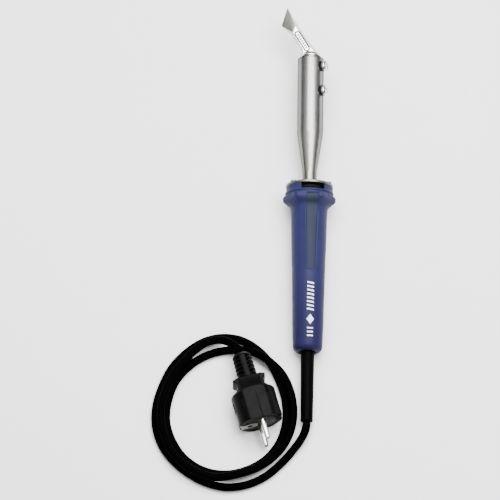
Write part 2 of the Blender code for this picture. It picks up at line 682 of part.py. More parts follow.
def plug_body():
    shoulder = arc((PLUG_R - 3.2, PLUG_SHOULDER - 3.2), (3.2, 3.2), 90, 0, 5)
    profile = [(0, PLUG_SHOULDER), *shoulder, (PLUG_R, 0.8), (PLUG_R - 0.8, 0), (16.2, 0), (16.2, 6.0), (0, 6.0)]
    body = turned("plug_body", profile, PLUG, PLUG_PLASTIC, steps=48)
    for side, name in ((1, "upper"), (-1, "lower")):
        ends = sorted((side * PLUG_FLAT, side * 30))
        boolean(body, box(f"plug_flat_{name}", (-30, ends[0], -5), (30, ends[1], 50), PLUG))
    boolean(body, plug_head(), "UNION")
    for side, name in ((1, "left"), (-1, "right")):
        ends = sorted((side * 16.6, side * 30))
        boolean(body, box(f"clip_groove_{name}", (ends[0], -4.2, -2), (ends[1], 4.2, 21), PLUG))
    return body


def plug_head():
    """The finger grip behind the plug's round body: a wing each side, and a back that slopes to the relief."""
    right = [(16.0, 22.0), (15.4, 27.8), (11.8, 31.4), (11.2, 36.4), (13.8, 38.2), (14.0, 39.8), (11.0, HEAD_END)]
    left = [(-x, y) for x, y in reversed(right)]
    lying = Matrix.Rotation(pi / 2, 4, "X")
    head = flat("plug_head", [*right, *left], 9.4, 1.2, lying, PLUG)
    top = [(8.0, PLUG_FLAT), (PANEL_END, PLUG_FLAT), (HEAD_END, 9.0)]
    bottom = [(x, -y) for x, y in reversed(top)]
    on_edge = Matrix.Rotation(-pi / 2, 4, "Y")
    wedge = flat("plug_wedge", [*top, *bottom], 9.2, 0.9, on_edge, PLUG)
    boolean(head, wedge, "UNION")
    return head


def plug_strain_relief():
    ribs = 6
    start = HEAD_END + GAP
    pitch = (RELIEF_END - start) / ribs
    profile = [(0, RELIEF_END)]
    for number in range(ribs):
        top = RELIEF_END - number * pitch
        outer = 7.4 + 1.0 * number / (ribs - 1)
        land = top - pitch * 0.58
        profile += [(outer - 0.6, top), (outer, top - 0.5), (outer, land)]
        if number < ribs - 1:
            profile += [(5.0, land), (5.0, top - pitch)]
    profile += [(8.4, start), (0, start)]
    relief = turned("plug_strain_relief", profile, PLUG, PLUG_PLASTIC, steps=24)
    spine = box("relief_spine", (-2.7, -7.5, start + 0.5), (2.7, 7.5, RELIEF_END - 1.0), PLUG, bevel=0.5)
    boolean(relief, spine, "UNION")
    return relief


def plug_pin_carrier():
    profile = [(0, 5.6), (15.8, 5.6), (15.8, 0.6), (15.3, 0.1), (0, 0.1)]
    carrier = turned("plug_pin_carrier", profile, PLUG, PLUG_PLASTIC, steps=48)
    for side, name in ((1, "upper"), (-1, "lower")):
        y = side * PIN_OFFSET
        boolean(carrier, rod(f"pin_hole_{name}", PIN_R + GAP, (0, y, -2), (0, y, 7), PLUG, segments=20))
        plug_pin(name, y)
    boolean(carrier, rod("earth_hole", 2.9, (EARTH_HOLE_X, 0, -2), (EARTH_HOLE_X, 0, 7), PLUG, segments=20))


def plug_pin(name, y):
    place = frame(f"plug_pin_axis_{name}", (0, y, 0), (0, 0, 0))
    place.parent = PLUG
    tip = arc((PIN_R - 1.2, -17.8), (1.2, -1.2), 0, 90, 4)
    profile = [(0, 5.5), (PIN_R, 5.5), *tip, (0, -19.0)]
    turned(f"plug_pin_{name}", profile, place, NICKEL, steps=24)


def earth_contacts():
    """The left contact folds over the plug's face around the earth hole; the right one stays on the side."""
    left = box("earth_contact_left", (17.0, -3.8, -0.9), (18.0, 3.8, 20.0), PLUG, NICKEL)
    boolean(left, box("contact_leg", (3.2, -3.8, -0.9), (17.6, 3.8, -0.25), PLUG), "UNION")
    boolean(left, rod("contact_hole", 2.5, (EARTH_HOLE_X, 0, -3), (EARTH_HOLE_X, 0, 3), PLUG, segments=20))
    box("earth_contact_right", (-18.0, -3.8, 0.2), (-17.0, 3.8, 20.0), PLUG, NICKEL, bevel=0.2)


# ---------------------------------------------------------------- everything


def build():
    soldering_bit()
    barrel_tube()
    heater_core()
    tube("mica_inner_sleeve", *MICA_INNER[:2], MICA_INNER[2:], IRON, MICA)
    heating_coil()
    tube("mica_outer_sleeve", *MICA_OUTER[:2], MICA_OUTER[2:], IRON, MICA)
    ceramic_end_bush()
    clamp_screws()
    heat_shield()
    handle()
    front_insulator()
    terminal_block()
    element_leads()
    cord_conductors()
    cord_clamp()
    bend_relief_sleeve()
    cord_in_handle()
    mains_cord()
    plug_body()
    plug_strain_relief()
    plug_pin_carrier()
    earth_contacts()


build()
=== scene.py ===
"""Looks for a mains soldering iron with a bent bit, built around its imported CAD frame.

Shapes are drawn in millimetres in two local frames that come from the record's mounts. In IRON,
Z runs from the barrel's mouth back along the handle, X is to the right and Y is up. In PLUG,
Z runs from the plug's face back to its cord and Y is up. Only the cord's route is in metres.
keep() settles each mesh in the shared frame, whose axes the materials use.
"""
import json
from math import asin, atan2, cos, exp, log, pi, radians, sin, tan

import bmesh
import bpy
from mathutils import Matrix, Vector


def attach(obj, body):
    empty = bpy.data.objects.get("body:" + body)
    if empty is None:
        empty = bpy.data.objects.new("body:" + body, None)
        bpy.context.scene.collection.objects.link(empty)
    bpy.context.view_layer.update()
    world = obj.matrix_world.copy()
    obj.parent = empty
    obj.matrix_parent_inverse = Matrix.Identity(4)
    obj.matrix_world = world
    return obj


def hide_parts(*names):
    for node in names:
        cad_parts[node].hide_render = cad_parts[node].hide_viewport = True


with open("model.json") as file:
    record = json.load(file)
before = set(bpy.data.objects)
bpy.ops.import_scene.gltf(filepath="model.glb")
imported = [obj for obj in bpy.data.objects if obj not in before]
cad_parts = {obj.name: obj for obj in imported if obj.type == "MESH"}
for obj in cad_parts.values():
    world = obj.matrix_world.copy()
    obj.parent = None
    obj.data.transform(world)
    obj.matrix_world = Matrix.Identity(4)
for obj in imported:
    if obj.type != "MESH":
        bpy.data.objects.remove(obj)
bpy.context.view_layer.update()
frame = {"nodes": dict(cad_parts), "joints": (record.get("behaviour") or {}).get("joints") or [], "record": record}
NODES = frame["nodes"]
MOUNTS = {m["name"]: m for m in frame["record"]["mounts"]}
JOINTS = {j["name"]: j for j in frame["joints"]}
MM = 0.001
UP = Vector((0, 0, 1))


def local_frame(point, into, sideways=0.0, depth=0.0):
    """A frame whose Z goes into the object and whose Y is as near up as it can be."""
    z = Vector(into).normalized()
    x = UP.cross(z).normalized()
    y = z.cross(x)
    origin = Vector(point) - x * sideways * MM - z * depth * MM
    place = Matrix((x, y, z)).transposed().to_4x4()
    place.translation = origin
    return place


SHIELD_FRONT = 113.9
SHIELD_MOUNT_X = 14.0
FACE_DEPTH = 0.1
SHIELD = MOUNTS["heat_shield_front"]
IRON = local_frame(SHIELD["pos_m"], -Vector(SHIELD["axis"]), SHIELD_MOUNT_X, SHIELD_FRONT)
FACE = MOUNTS["plug_face"]
PLUG = local_frame(FACE["pos_m"], -Vector(FACE["axis"]), 0.0, FACE_DEPTH)


# ---------------------------------------------------------------- camera

ELEVATION = radians(69.5)
TURN = radians(0.733)
LENS = 800.0
SENSOR = 36.0
VIEW_WIDTH = 0.428
LOOK_AT = Vector((-0.04966, -0.0256, 0))


def add_camera():
    data = bpy.data.cameras.new("camera")
    data.lens = LENS
    data.sensor_width = SENSOR
    data.clip_end = 60
    camera = bpy.data.objects.new("camera", data)
    bpy.context.scene.collection.objects.link(camera)
    away = Matrix.Rotation(TURN, 3, "Z") @ Vector((0, -cos(ELEVATION), sin(ELEVATION)))
    camera.location = LOOK_AT + away * (LENS / SENSOR * VIEW_WIDTH)
    camera.rotation_euler = (pi / 2 - ELEVATION, 0, TURN)
    bpy.context.scene.camera = camera


add_camera()


# ---------------------------------------------------------------- materials


def new_material(name, color, metallic, roughness):
    made = bpy.data.materials.new(name)
    made.use_nodes = True
    shader = made.node_tree.nodes["Principled BSDF"]
    shader.inputs["Base Color"].default_value = (*color, 1)
    shader.inputs["Metallic"].default_value = metallic
    shader.inputs["Roughness"].default_value = roughness
    return made


def noise(made, size, stretch=(1, 1, 1), detail=3.0):
    """A noise whose lumps are about size millimetres, stretched by the factors given."""
    nodes, links = made.node_tree.nodes, made.node_tree.links
    place = nodes.new("ShaderNodeTexCoord")
    mapping = nodes.new("ShaderNodeMapping")
    texture = nodes.new("ShaderNodeTexNoise")
    links.new(place.outputs["Object"], mapping.inputs["Vector"])
    links.new(mapping.outputs["Vector"], texture.inputs["Vector"])
    mapping.inputs["Scale"].default_value = [1 / factor for factor in stretch]
    texture.inputs["Scale"].default_value = 1000 / size
    texture.inputs["Detail"].default_value = detail
    return texture.outputs["Fac"]


def ramp(made, factor, *stops):
    nodes, links = made.node_tree.nodes, made.node_tree.links
    node = nodes.new("ShaderNodeValToRGB")
    links.new(factor, node.inputs["Fac"])
    elements = node.color_ramp.elements
    elements[0].position, elements[-1].position = stops[0][0], stops[-1][0]
    for place, _ in stops[1:-1]:
        elements.new(place)
    for element, (_, color) in zip(elements, stops):
        element.color = (*color, 1)
    return node.outputs["Color"]


def mix(made, factor, first, second, blend="MIX"):
    """Mixes two colours, each a socket or a colour, by a socket or a number."""
    nodes, links = made.node_tree.nodes, made.node_tree.links
    node = nodes.new("ShaderNodeMix")
    node.data_type = "RGBA"
    node.blend_type = blend
    for socket, value in ((node.inputs[0], factor), (node.inputs[6], first), (node.inputs[7], second)):
        if isinstance(value, bpy.types.NodeSocket):
            links.new(value, socket)
        elif isinstance(value, float):
            socket.default_value = value
        else:
            socket.default_value = (*value, 1)
    return node.outputs[2]


def spread(made, factor, low, high, first=0.3, last=0.7):
    """Maps a noise onto a range of values, such as a roughness."""
    nodes, links = made.node_tree.nodes, made.node_tree.links
    node = nodes.new("ShaderNodeMapRange")
    links.new(factor, node.inputs["Value"])
    node.inputs["From Min"].default_value = first
    node.inputs["From Max"].default_value = last
    node.inputs["To Min"].default_value = low
    node.inputs["To Max"].default_value = high
    return node.outputs["Result"]


def bumps(made, *layers):
    """Relief made of (height, depth in millimetres) layers, one over the other."""
    nodes, links = made.node_tree.nodes, made.node_tree.links
    below = None
    for height, depth in layers:
        node = nodes.new("ShaderNodeBump")
        node.inputs["Distance"].default_value = depth * MM
        node.inputs["Strength"].default_value = 1.0
        links.new(height, node.inputs["Height"])
        if below:
            links.new(below, node.inputs["Normal"])
        below = node.outputs["Normal"]
    links.new(below, shader_of(made).inputs["Normal"])


def shader_of(made):
    return made.node_tree.nodes["Principled BSDF"]


def drive(made, socket, value):
    made.node_tree.links.new(value, shader_of(made).inputs[socket])


def along(made, first, last):
    """0 to 1 between two stations along the shared frame's Y, in millimetres."""
    nodes, links = made.node_tree.nodes, made.node_tree.links
    place = nodes.new("ShaderNodeTexCoord")
    split = nodes.new("ShaderNodeSeparateXYZ")
    links.new(place.outputs["Object"], split.inputs["Vector"])
    node = nodes.new("ShaderNodeMapRange")
    links.new(split.outputs["Y"], node.inputs["Value"])
    node.inputs["From Min"].default_value = first * MM
    node.inputs["From Max"].default_value = last * MM
    return node.outputs["Result"]


EDGE_TINT = (0.7, 0.7, 0.7, 1)


def mottled(name, color, tint, roughness, metallic=0.0, size=6.0, grain=0.3, depth=0.01, gloss=0.5):
    """A finish with patches of a second colour, uneven roughness and a fine relief."""
    made = new_material(name, color, metallic, roughness[0])
    shader_of(made).inputs["Specular Tint"].default_value = EDGE_TINT
    shader_of(made).inputs["Specular IOR Level"].default_value = gloss
    patches = noise(made, size)
    drive(made, "Base Color", ramp(made, patches, (0.3, color), (0.7, tint)))
    drive(made, "Roughness", spread(made, noise(made, size * 0.4), *roughness))
    bumps(made, (noise(made, grain, detail=2.0), depth), (noise(made, size), depth * 2))
    return made


def tube_steel():
    """Satin steel drawn along its length, browned a little by heat towards the neck, with a band of painted shade
    darkening the rolled lip at the mouth.
    """
    made = new_material("barrel_steel", (0.33, 0.325, 0.32), 1.0, 0.3)
    shader_of(made).inputs["Specular Tint"].default_value = (0.3, 0.3, 0.28, 1)
    drawn = noise(made, 0.35, (1, 60, 1), 3.0)
    plain = ramp(made, drawn, (0.3, (0.21, 0.209, 0.205)), (0.7, (0.28, 0.278, 0.273)))
    # Heat tint towards the neck; the dark first stops are painted shade for the gap at the rolled lip.
    heat_tint_and_lip_shade = ramp(
        made, along(made, IRON.translation.y / MM, SHIELD["pos_m"][1] / MM),
        (0.0, (0.16, 0.15, 0.14)), (0.008, (0.16, 0.15, 0.14)), (0.016, (0.9, 0.88, 0.84)),
        (0.12, (1, 1, 1)), (0.35, (0.97, 0.97, 1.0)), (0.72, (0.97, 0.96, 0.94)),
        (0.88, (0.9, 0.86, 0.79)), (1.0, (0.72, 0.62, 0.52)),
    )
    cloud = noise(made, 14, (1, 2.5, 1))
    warmed_and_lip_shaded = mix(made, 1.0, plain, heat_tint_and_lip_shade, "MULTIPLY")
    stained_and_lip_shaded = mix(made, 1.0, warmed_and_lip_shaded, (0.94, 0.9, 0.84), "MULTIPLY")
    drive(made, "Base Color", mix(made, spread(made, cloud, 0.0, 0.5), warmed_and_lip_shaded, stained_and_lip_shaded))
    drive(made, "Roughness", spread(made, noise(made, 1.2, (1, 25, 1)), 0.26, 0.36))
    bumps(made, (drawn, 0.006), (noise(made, 9, (1, 4, 1)), 0.02))
    return made


def ground_facet():
    """The bit's working face: filed dull, with fine lines across it and a little oxide."""
    made = new_material("bit_facet", (0.15, 0.15, 0.135), 1.0, 0.5)
    lines = noise(made, 0.25, (14, 1, 1), 4.0)
    worn = noise(made, 3.5)
    filed = ramp(made, lines, (0.3, (0.11, 0.11, 0.10)), (0.7, (0.19, 0.19, 0.17)))
    drive(made, "Base Color", mix(made, spread(made, worn, 0.0, 1.0, 0.35, 0.75), filed, (0.15, 0.14, 0.105)))
    drive(made, "Roughness", spread(made, noise(made, 1.5), 0.42, 0.6))
    bumps(made, (lines, 0.02))
    return made


def moulded(name, color, tint, roughness, gloss=0.2):
    """Fine-textured moulded plastic, rubbed a little smoother in places."""
    made = new_material(name, color, 0.0, roughness)
    shader_of(made).inputs["Specular IOR Level"].default_value = gloss
    drive(made, "Base Color", ramp(made, noise(made, 18), (0.3, color), (0.7, tint)))
    drive(made, "Roughness", spread(made, noise(made, 9), roughness - 0.06, roughness + 0.06))
    bumps(made, (noise(made, 0.28, detail=2.0), 0.012), (noise(made, 16), 0.05))
    return made


def grip_blue():
    """The grip's moulded blue, deeper and a little more violet towards its tail."""
    made = moulded("handle_blue", (0.0135, 0.0165, 0.060), (0.016, 0.0185, 0.068), 0.42, 0.06)
    first, last = ((IRON @ Vector((0, 0, station * MM))).y / MM for station in (185, 262))
    patches = noise(made, 18)
    head = ramp(made, patches, (0.3, (0.0150, 0.0168, 0.055)), (0.7, (0.0170, 0.0186, 0.061)))
    tail = ramp(made, patches, (0.3, (0.0100, 0.0095, 0.038)), (0.7, (0.0118, 0.0108, 0.043)))
    drive(made, "Base Color", mix(made, along(made, first, last), head, tail))
    return made


BIT_PLATE = mottled("bit_plate", (0.72, 0.71, 0.68), (0.60, 0.59, 0.56), (0.22, 0.36), 1.0, 5, 0.5, 0.008)
BIT_FACET = ground_facet()
# Near-black steel: on the panel's rim it is painted shade for the shadowed groove, and the bars inside use it as
# dark marks.
BIT_PANEL_SHADE_AND_MARKS = mottled(
    "bit_panel_shade_and_marks", (0.005, 0.0046, 0.0038), (0.011, 0.010, 0.0085), (0.5, 0.65), 0.0, 2, 0.3, 0.01, gloss=0.03,
)
TUBE_STEEL = tube_steel()
DISC_STEEL = mottled(
    "disc_steel", (0.16, 0.165, 0.155), (0.11, 0.115, 0.105), (0.3, 0.45), 1.0, 7, 0.4, 0.008,
)
ZINC = mottled("zinc_plate", (0.80, 0.80, 0.82), (0.70, 0.71, 0.74), (0.14, 0.26), 1.0, 2.5, 0.5, 0.006)
DULL_ZINC = mottled("dull_zinc", (0.22, 0.23, 0.25), (0.15, 0.155, 0.17), (0.3, 0.45), 1.0, 2.5, 0.5, 0.006)
BLACK_OXIDE = mottled(
    "black_oxide", (0.02, 0.02, 0.022), (0.05, 0.048, 0.045), (0.3, 0.5), 1.0, 2, 0.3, 0.008,
)
BLUE = grip_blue()
FLUTE = moulded("handle_flute", (0.016, 0.0205, 0.036), (0.019, 0.023, 0.040), 0.5, 0.06)
WHITE_INK = mottled("white_ink", (0.80, 0.81, 0.84), (0.70, 0.72, 0.77), (0.35, 0.5), 0.0, 3, 0.4, 0.01)
SLEEVE_RUBBER = moulded("sleeve_rubber", (0.0006, 0.0006, 0.0006), (0.0010, 0.0010, 0.0010), 0.5, 0.015)
CORD_RUBBER = moulded("cord_rubber", (0.0003, 0.0003, 0.0003), (0.0006, 0.0006, 0.0006), 0.6, 0.006)
PLUG_RUBBER = moulded("plug_rubber", (0.0007, 0.0008, 0.0008), (0.0012, 0.0013, 0.0013), 0.42, 0.045)
NICKEL = mottled("nickel_plate", (0.80, 0.78, 0.73), (0.70, 0.68, 0.62), (0.12, 0.24), 1.0, 4, 0.5, 0.004)
DULL_NICKEL = mottled(
    "dull_nickel", (0.26, 0.255, 0.24), (0.17, 0.165, 0.15), (0.25, 0.4), 1.0, 3, 0.5, 0.006,
)
INSIDE = {
    # inner_steel is near-black, far darker than bare steel: painted shade, so the parts seen through the collar's
    # vents read dark.
    "inner_steel": mottled(
        "inner_steel", (0.012, 0.011, 0.010), (0.02, 0.018, 0.016), (0.55, 0.7), 0.3, 4, gloss=0.1,
    ),
    "mica": mottled("mica_sheet", (0.62, 0.55, 0.42), (0.5, 0.43, 0.3), (0.3, 0.5), 0.0, 5),
    "nichrome": mottled("nichrome_wire", (0.35, 0.33, 0.31), (0.24, 0.2, 0.18), (0.35, 0.5), 1.0, 2),
    "ceramic": mottled("ceramic_body", (0.80, 0.78, 0.72), (0.72, 0.69, 0.62), (0.45, 0.6), 0.0, 4),
    "phenolic": mottled("phenolic_body", (0.012, 0.009, 0.007), (0.02, 0.015, 0.011), (0.4, 0.55), 0.0, 3),
    "zinc_screws": ZINC,
    "nickel": NICKEL,
    "black_rubber": CORD_RUBBER,
    "wire_brown": moulded("wire_brown_pvc", (0.18, 0.07, 0.02), (0.15, 0.055, 0.016), 0.4),
    "wire_blue": moulded("wire_blue_pvc", (0.03, 0.16, 0.55), (0.025, 0.13, 0.48), 0.4),
    "wire_earth": moulded("wire_earth_pvc", (0.25, 0.45, 0.05), (0.5, 0.48, 0.05), 0.4),
    "glass_fibre": mottled(
        "glass_fibre_sleeving", (0.80, 0.78, 0.72), (0.7, 0.68, 0.62), (0.7, 0.85), 0.0, 1.2, 0.3, 0.05,
    ),
}


# ---------------------------------------------------------------- mesh helpers


def mesh_piece(name, shape, place, finishes, angle=30):
    """Ends a bmesh drawn in millimetres as a named object in its local frame."""
    bmesh.ops.remove_doubles(shape, verts=shape.verts, dist=0.0005)
    shape.normal_update()
    bmesh.ops.recalc_face_normals(shape, faces=shape.faces)
    bmesh.ops.scale(shape, vec=(MM, MM, MM), verts=shape.verts)
    mesh = bpy.data.meshes.new(name)
    shape.to_mesh(mesh)
    shape.free()
    made = bpy.data.objects.new(name, mesh)
    bpy.context.scene.collection.objects.link(made)
    made.matrix_world = place
    for finish in finishes:
        mesh.materials.append(finish)
    smooth(made, angle)
    return made


def smooth(made, angle=30):
    made.data.shade_smooth()
    made.data.set_sharp_from_angle(angle=radians(angle))


def settle(made):
    """Applies an object's modifiers to its mesh."""
    bpy.context.view_layer.update()
    graph = bpy.context.evaluated_depsgraph_get()
    mesh = bpy.data.meshes.new_from_object(made.evaluated_get(graph))
    made.modifiers.clear()
    made.data = mesh
    return made


def combine(made, *others, operation="DIFFERENCE", angle=30):
    """Cuts the other objects from made, or joins them to it, and removes them."""
    for other in others:
        step = made.modifiers.new("combine", "BOOLEAN")
        step.operation = operation
        step.solver = "EXACT"
        step.object = other
        settle(made)
        bpy.data.objects.remove(other, do_unlink=True)
    smooth(made, angle)
    return made


def ease(made, width, segments=3, limit=35):
    """Rounds an object's sharp edges."""
    step = made.modifiers.new("round", "BEVEL")
    step.width = width * MM
    step.segments = segments
    step.limit_method = "ANGLE"
    step.angle_limit = radians(limit)
    step.harden_normals = False
    settle(made)
    smooth(made)
    return made


def add_rings(shape, rings, loop=False, material=None):
    """Faces between rings of points, capped unless looped; material is a function of (ring, column)."""
    made = [[shape.verts.new(p) for p in ring] for ring in rings]
    count = len(made[0])
    pairs = list(zip(range(len(made)), range(1, len(made))))
    if loop:
        pairs.append((len(made) - 1, 0))
    for a, b in pairs:
        for k in range(count):
            corners = [made[a][k], made[a][(k + 1) % count], made[b][(k + 1) % count], made[b][k]]
            face = shape.faces.new(corners)
            if material:
                face.material_index = material(a, k)
    if not loop:
        shape.faces.new(made[0])
        shape.faces.new(made[-1])


def loft(name, rings, place, *finishes, loop=False, angle=30, material=None):
    shape = bmesh.new()
    add_rings(shape, rings, loop, material)
    return mesh_piece(name, shape, place, finishes, angle)


def circle(radius, station, steps):
    turns = [2 * pi * k / steps for k in range(steps)]
    return [Vector((radius * cos(a), radius * sin(a), station)) for a in turns]


NEARLY_STRAIGHT = 0.02
ON_AXIS = 0.0002


def fillets(corners, closed=False, pieces=5):
    """A polyline of (x, y, radius) corners with each corner rounded."""
    points = []
    count = len(corners)
    for i, (x, y, radius) in enumerate(corners):
        here = Vector((x, y))
        if radius <= 0 or (not closed and i in (0, count - 1)):
            points.append(here)
            continue
        before = Vector(corners[i - 1][:2]) - here
        after = Vector(corners[(i + 1) % count][:2]) - here
        bend = before.angle(after)
        if bend > pi - NEARLY_STRAIGHT:
            points += [here + before.normalized() * 0.1 * (1 - 2 * k / pieces) for k in range(pieces + 1)]
            continue
        reach = min(radius / tan(bend / 2), 0.48 * before.length, 0.48 * after.length)
        size = reach * tan(bend / 2)
        first, last = here + before.normalized() * reach, here + after.normalized() * reach
        centre = here + (before.normalized() + after.normalized()).normalized() * (size / sin(bend / 2))
        a, b = first - centre, last - centre
        turn = atan2(a.x * b.y - a.y * b.x, a.dot(b))
        for k in range(pieces + 1):
            c, s = cos(turn * k / pieces), sin(turn * k / pieces)
            points.append(centre + Vector((a.x * c - a.y * s, a.x * s + a.y * c)))
    return [(p.x, p.y) for p in points]


def turned(name, profile, place, *finishes, steps=72, loop=False):
    """A profile of (radius, station, fillet) corners turned about local Z."""
    rings = [circle(max(r, ON_AXIS), z, steps) for r, z in fillets(profile, closed=loop)]
    return loft(name, rings, place, *finishes, loop=loop)


def block(name, low, high, place, edge=0.0, turn=0.0):
    """A box between two corners, turned about local Z, with rounded edges if asked."""
    low, high = Vector(low), Vector(high)
    shape = bmesh.new()
    middle = Matrix.Rotation(turn, 4, "Z") @ Matrix.Translation((low + high) / 2)
    bmesh.ops.create_cube(shape, size=1, matrix=middle @ Matrix.Diagonal((*(high - low), 1)))
    made = mesh_piece(name, shape, place, [])
    return ease(made, edge) if edge else made


def peg(name, radius, start, end, place, steps=32):
    """A plain cylinder between two points, to cut with."""
    start, end = Vector(start), Vector(end)
    length = (end - start).length
    turn = (end - start).to_track_quat("Z", "Y").to_matrix().to_4x4()
    shift = Matrix.Translation(start) @ turn
    rings = [[shift @ p for p in circle(radius, z, steps)] for z in (0, length)]
    return loft(name, rings, place)


def prism(name, layers, place, axis="Y"):
    """Stacked outlines of (height, [(a, b), ...]) with one number of corners, closed at both ends.

    With axis Y the corners are (x, z) and the height is y. With axis X they are (z, y) and the height is x.
    """
    def point(height, a, b):
        return Vector((a, height, b)) if axis == "Y" else Vector((height, b, a))
    rings = [[point(height, a, b) for a, b in outline] for height, outline in layers]
    return loft(name, rings, place)


def bead(name, path, radius, normal, place, *finishes, steps=10):
    """A round bead along a closed flat path whose plane has the given normal."""
    rings = []
    for i, here in enumerate(path):
        side = (path[(i + 1) % len(path)] - path[i - 1]).normalized().cross(normal).normalized()
        turns = [2 * pi * k / steps for k in range(steps)]
        rings.append([here + (side * cos(a) + normal * sin(a)) * radius for a in turns])
    return loft(name, rings, place, *finishes, loop=True)


def blend_value(value, first, last):
    """A smooth 0 to 1 between two values."""
    share = min(max((value - first) / (last - first), 0.0), 1.0)
    return share * share * (3 - 2 * share)


def curve_through(points, value):
    """The height at a value of a smooth curve through (value, height) points."""
    if value <= points[0][0]:
        return points[0][1]
    if value >= points[-1][0]:
        return points[-1][1]
    i = max(k for k, p in enumerate(points) if p[0] <= value)
    i = min(i, len(points) - 2)
    slopes = []
    for k in (i, i + 1):
        low, high = max(k - 1, 0), min(k + 1, len(points) - 1)
        slopes.append((points[high][1] - points[low][1]) / (points[high][0] - points[low][0]))
    (x0, y0), (x1, y1) = points[i], points[i + 1]
    step = x1 - x0
    s = (value - x0) / step
    return (
        (2 * s**3 - 3 * s**2 + 1) * y0 + (s**3 - 2 * s**2 + s) * step * slopes[0]
        + (3 * s**2 - 2 * s**3) * y1 + (s**3 - s**2) * step * slopes[1]
    )


def spaced(first, last, step):
    count = max(1, round(abs(last - first) / step))
    return [first + (last - first) * k / count for k in range(count)]


def keep(made, body, slot, *replaced):
    """Settles a piece in the shared frame, on its body, and hides the CAD nodes it stands for. The slot is not
    used.
    """
    if made.type == "MESH":
        made.data.transform(made.matrix_world)
        made.matrix_world = Matrix.Identity(4)
    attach(made, body)
    if replaced:
        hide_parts(*replaced)
    return made


# ---------------------------------------------------------------- cord

CORD_DIAMETER = 0.007
SLEEVE_END = 323.5
RELIEF_END = 64.4
CORD_TUCK = 6
CORD_STEP = 0.002
ROUTE = [
    (0.00055, -0.1849, 0.0079), (-0.0004, -0.1912, 0.0074), (-0.0039, -0.1988, 0.0062),
    (-0.0109, -0.2088, 0.0047), (-0.022, -0.2216, 0.0036), (-0.0348, -0.2326, 0.0035),
    (-0.05, -0.2398, 0.0035), (-0.067, -0.2422, 0.0035), (-0.0833, -0.2387, 0.0035),
    (-0.0982, -0.231, 0.0035), (-0.112, -0.2195, 0.0035), (-0.1228, -0.204, 0.0035),
    (-0.1279, -0.1865, 0.0035), (-0.1276, -0.1695, 0.0035), (-0.123, -0.1525, 0.0035),
    (-0.1143, -0.1345, 0.0035), (-0.1012, -0.1201, 0.0035), (-0.0872, -0.1108, 0.0035),
    (-0.072, -0.1072, 0.0035), (-0.0572, -0.109, 0.0035), (-0.0439, -0.1163, 0.0035),
    (-0.0324, -0.128, 0.0035), (-0.0236, -0.1446, 0.0035), (-0.0178, -0.1631, 0.0035),
    (-0.0169, -0.1822, 0.0035), (-0.0216, -0.2, 0.0035), (-0.033, -0.216, 0.0035),
    (-0.0495, -0.2264, 0.0035), (-0.0675, -0.2306, 0.0035), (-0.086, -0.2277, 0.0035),
    (-0.1021, -0.2176, 0.0035), (-0.1133, -0.2018, 0.0035), (-0.1189, -0.1835, 0.0035),
    (-0.1174, -0.1645, 0.0035), (-0.1112, -0.147, 0.0035), (-0.1, -0.1334, 0.0035),
    (-0.086, -0.1238, 0.0035), (-0.0692, -0.1189, 0.0038), (-0.0526, -0.1196, 0.0062),
    (-0.0406, -0.1242, 0.0098), (-0.031, -0.1316, 0.0116), (-0.0214, -0.1412, 0.0108),
    (-0.0144, -0.1548, 0.0094), (-0.0109, -0.1736, 0.0086), (-0.0134, -0.194, 0.0094),
    (-0.023, -0.2122, 0.0108), (-0.0393, -0.226, 0.0116), (-0.0581, -0.2333, 0.0118),
    (-0.0774, -0.236, 0.0118), (-0.0956, -0.2296, 0.0114), (-0.1118, -0.2158, 0.011),
    (-0.121, -0.1969, 0.0108), (-0.1236, -0.1762, 0.0106), (-0.1196, -0.157, 0.0101),
    (-0.1127, -0.1418, 0.0095), (-0.1029, -0.1291, 0.0091), (-0.094, -0.1197, 0.0096),
    (-0.0843, -0.1136, 0.0108), (-0.0742, -0.1125, 0.0127), (-0.0656, -0.1158, 0.0148),
    (-0.0598, -0.1206, 0.0164), (-0.0568, -0.1251, 0.0172),
]


def smooth_route(points, step):
    """Points about step metres apart along a smooth curve through the given ones."""
    points = [Vector(p) for p in points]
    reach = [0.0]
    for a, b in zip(points, points[1:]):
        reach.append(reach[-1] + (b - a).length)
    slopes = []
    for i in range(1, len(points) - 1):
        before, after = reach[i] - reach[i - 1], reach[i + 1] - reach[i]
        ahead = (points[i + 1] - points[i]) / after
        behind = (points[i] - points[i - 1]) / before
        slopes.append((behind * after + ahead * before) / (before + after))
    slopes.insert(0, 2 * (points[1] - points[0]) / reach[1] - slopes[0])
    slopes.append(2 * (points[-1] - points[-2]) / (reach[-1] - reach[-2]) - slopes[-1])
    fine = []
    for i in range(len(points) - 1):
        size = reach[i + 1] - reach[i]
        count = max(1, round(size / step))
        for k in range(count):
            s = k / count
            fine.append(
                (2 * s**3 - 3 * s**2 + 1) * points[i] + (s**3 - 2 * s**2 + s) * size * slopes[i]
                + (3 * s**2 - 2 * s**3) * points[i + 1] + (s**3 - s**2) * size * slopes[i + 1]
            )
    fine.append(points[-1])
    for point in fine:
        point.z = max(point.z, CORD_DIAMETER / 2)
    return fine


def mains_cord():
    """The cord from inside the sleeve, round its ring on the table and into the plug's strain relief."""
    inside_sleeve = IRON @ (Vector((0, 0, SLEEVE_END - CORD_TUCK)) * MM)
    inside_relief = PLUG @ (Vector((0, 0, RELIEF_END - CORD_TUCK)) * MM)
    curve = bpy.data.curves.new("mains_cord_flex", "CURVE")
    curve.dimensions = "3D"
    curve.bevel_depth = CORD_DIAMETER / 2
    curve.bevel_resolution = 6
    curve.use_fill_caps = True
    points = smooth_route([inside_sleeve, *ROUTE, inside_relief], CORD_STEP)
    spline = curve.splines.new("POLY")
    spline.points.add(len(points) - 1)
    for knot, point in zip(spline.points, points):
        knot.co = (*point, 1)
    spline.use_smooth = True
    curve.materials.append(CORD_RUBBER)
    made = bpy.data.objects.new("mains_cord_flex", curve)
    bpy.context.scene.collection.objects.link(made)
    return keep(made, "iron", "black_rubber", "mains_cord")


CORD = mains_cord()


# ---------------------------------------------------------------- bit

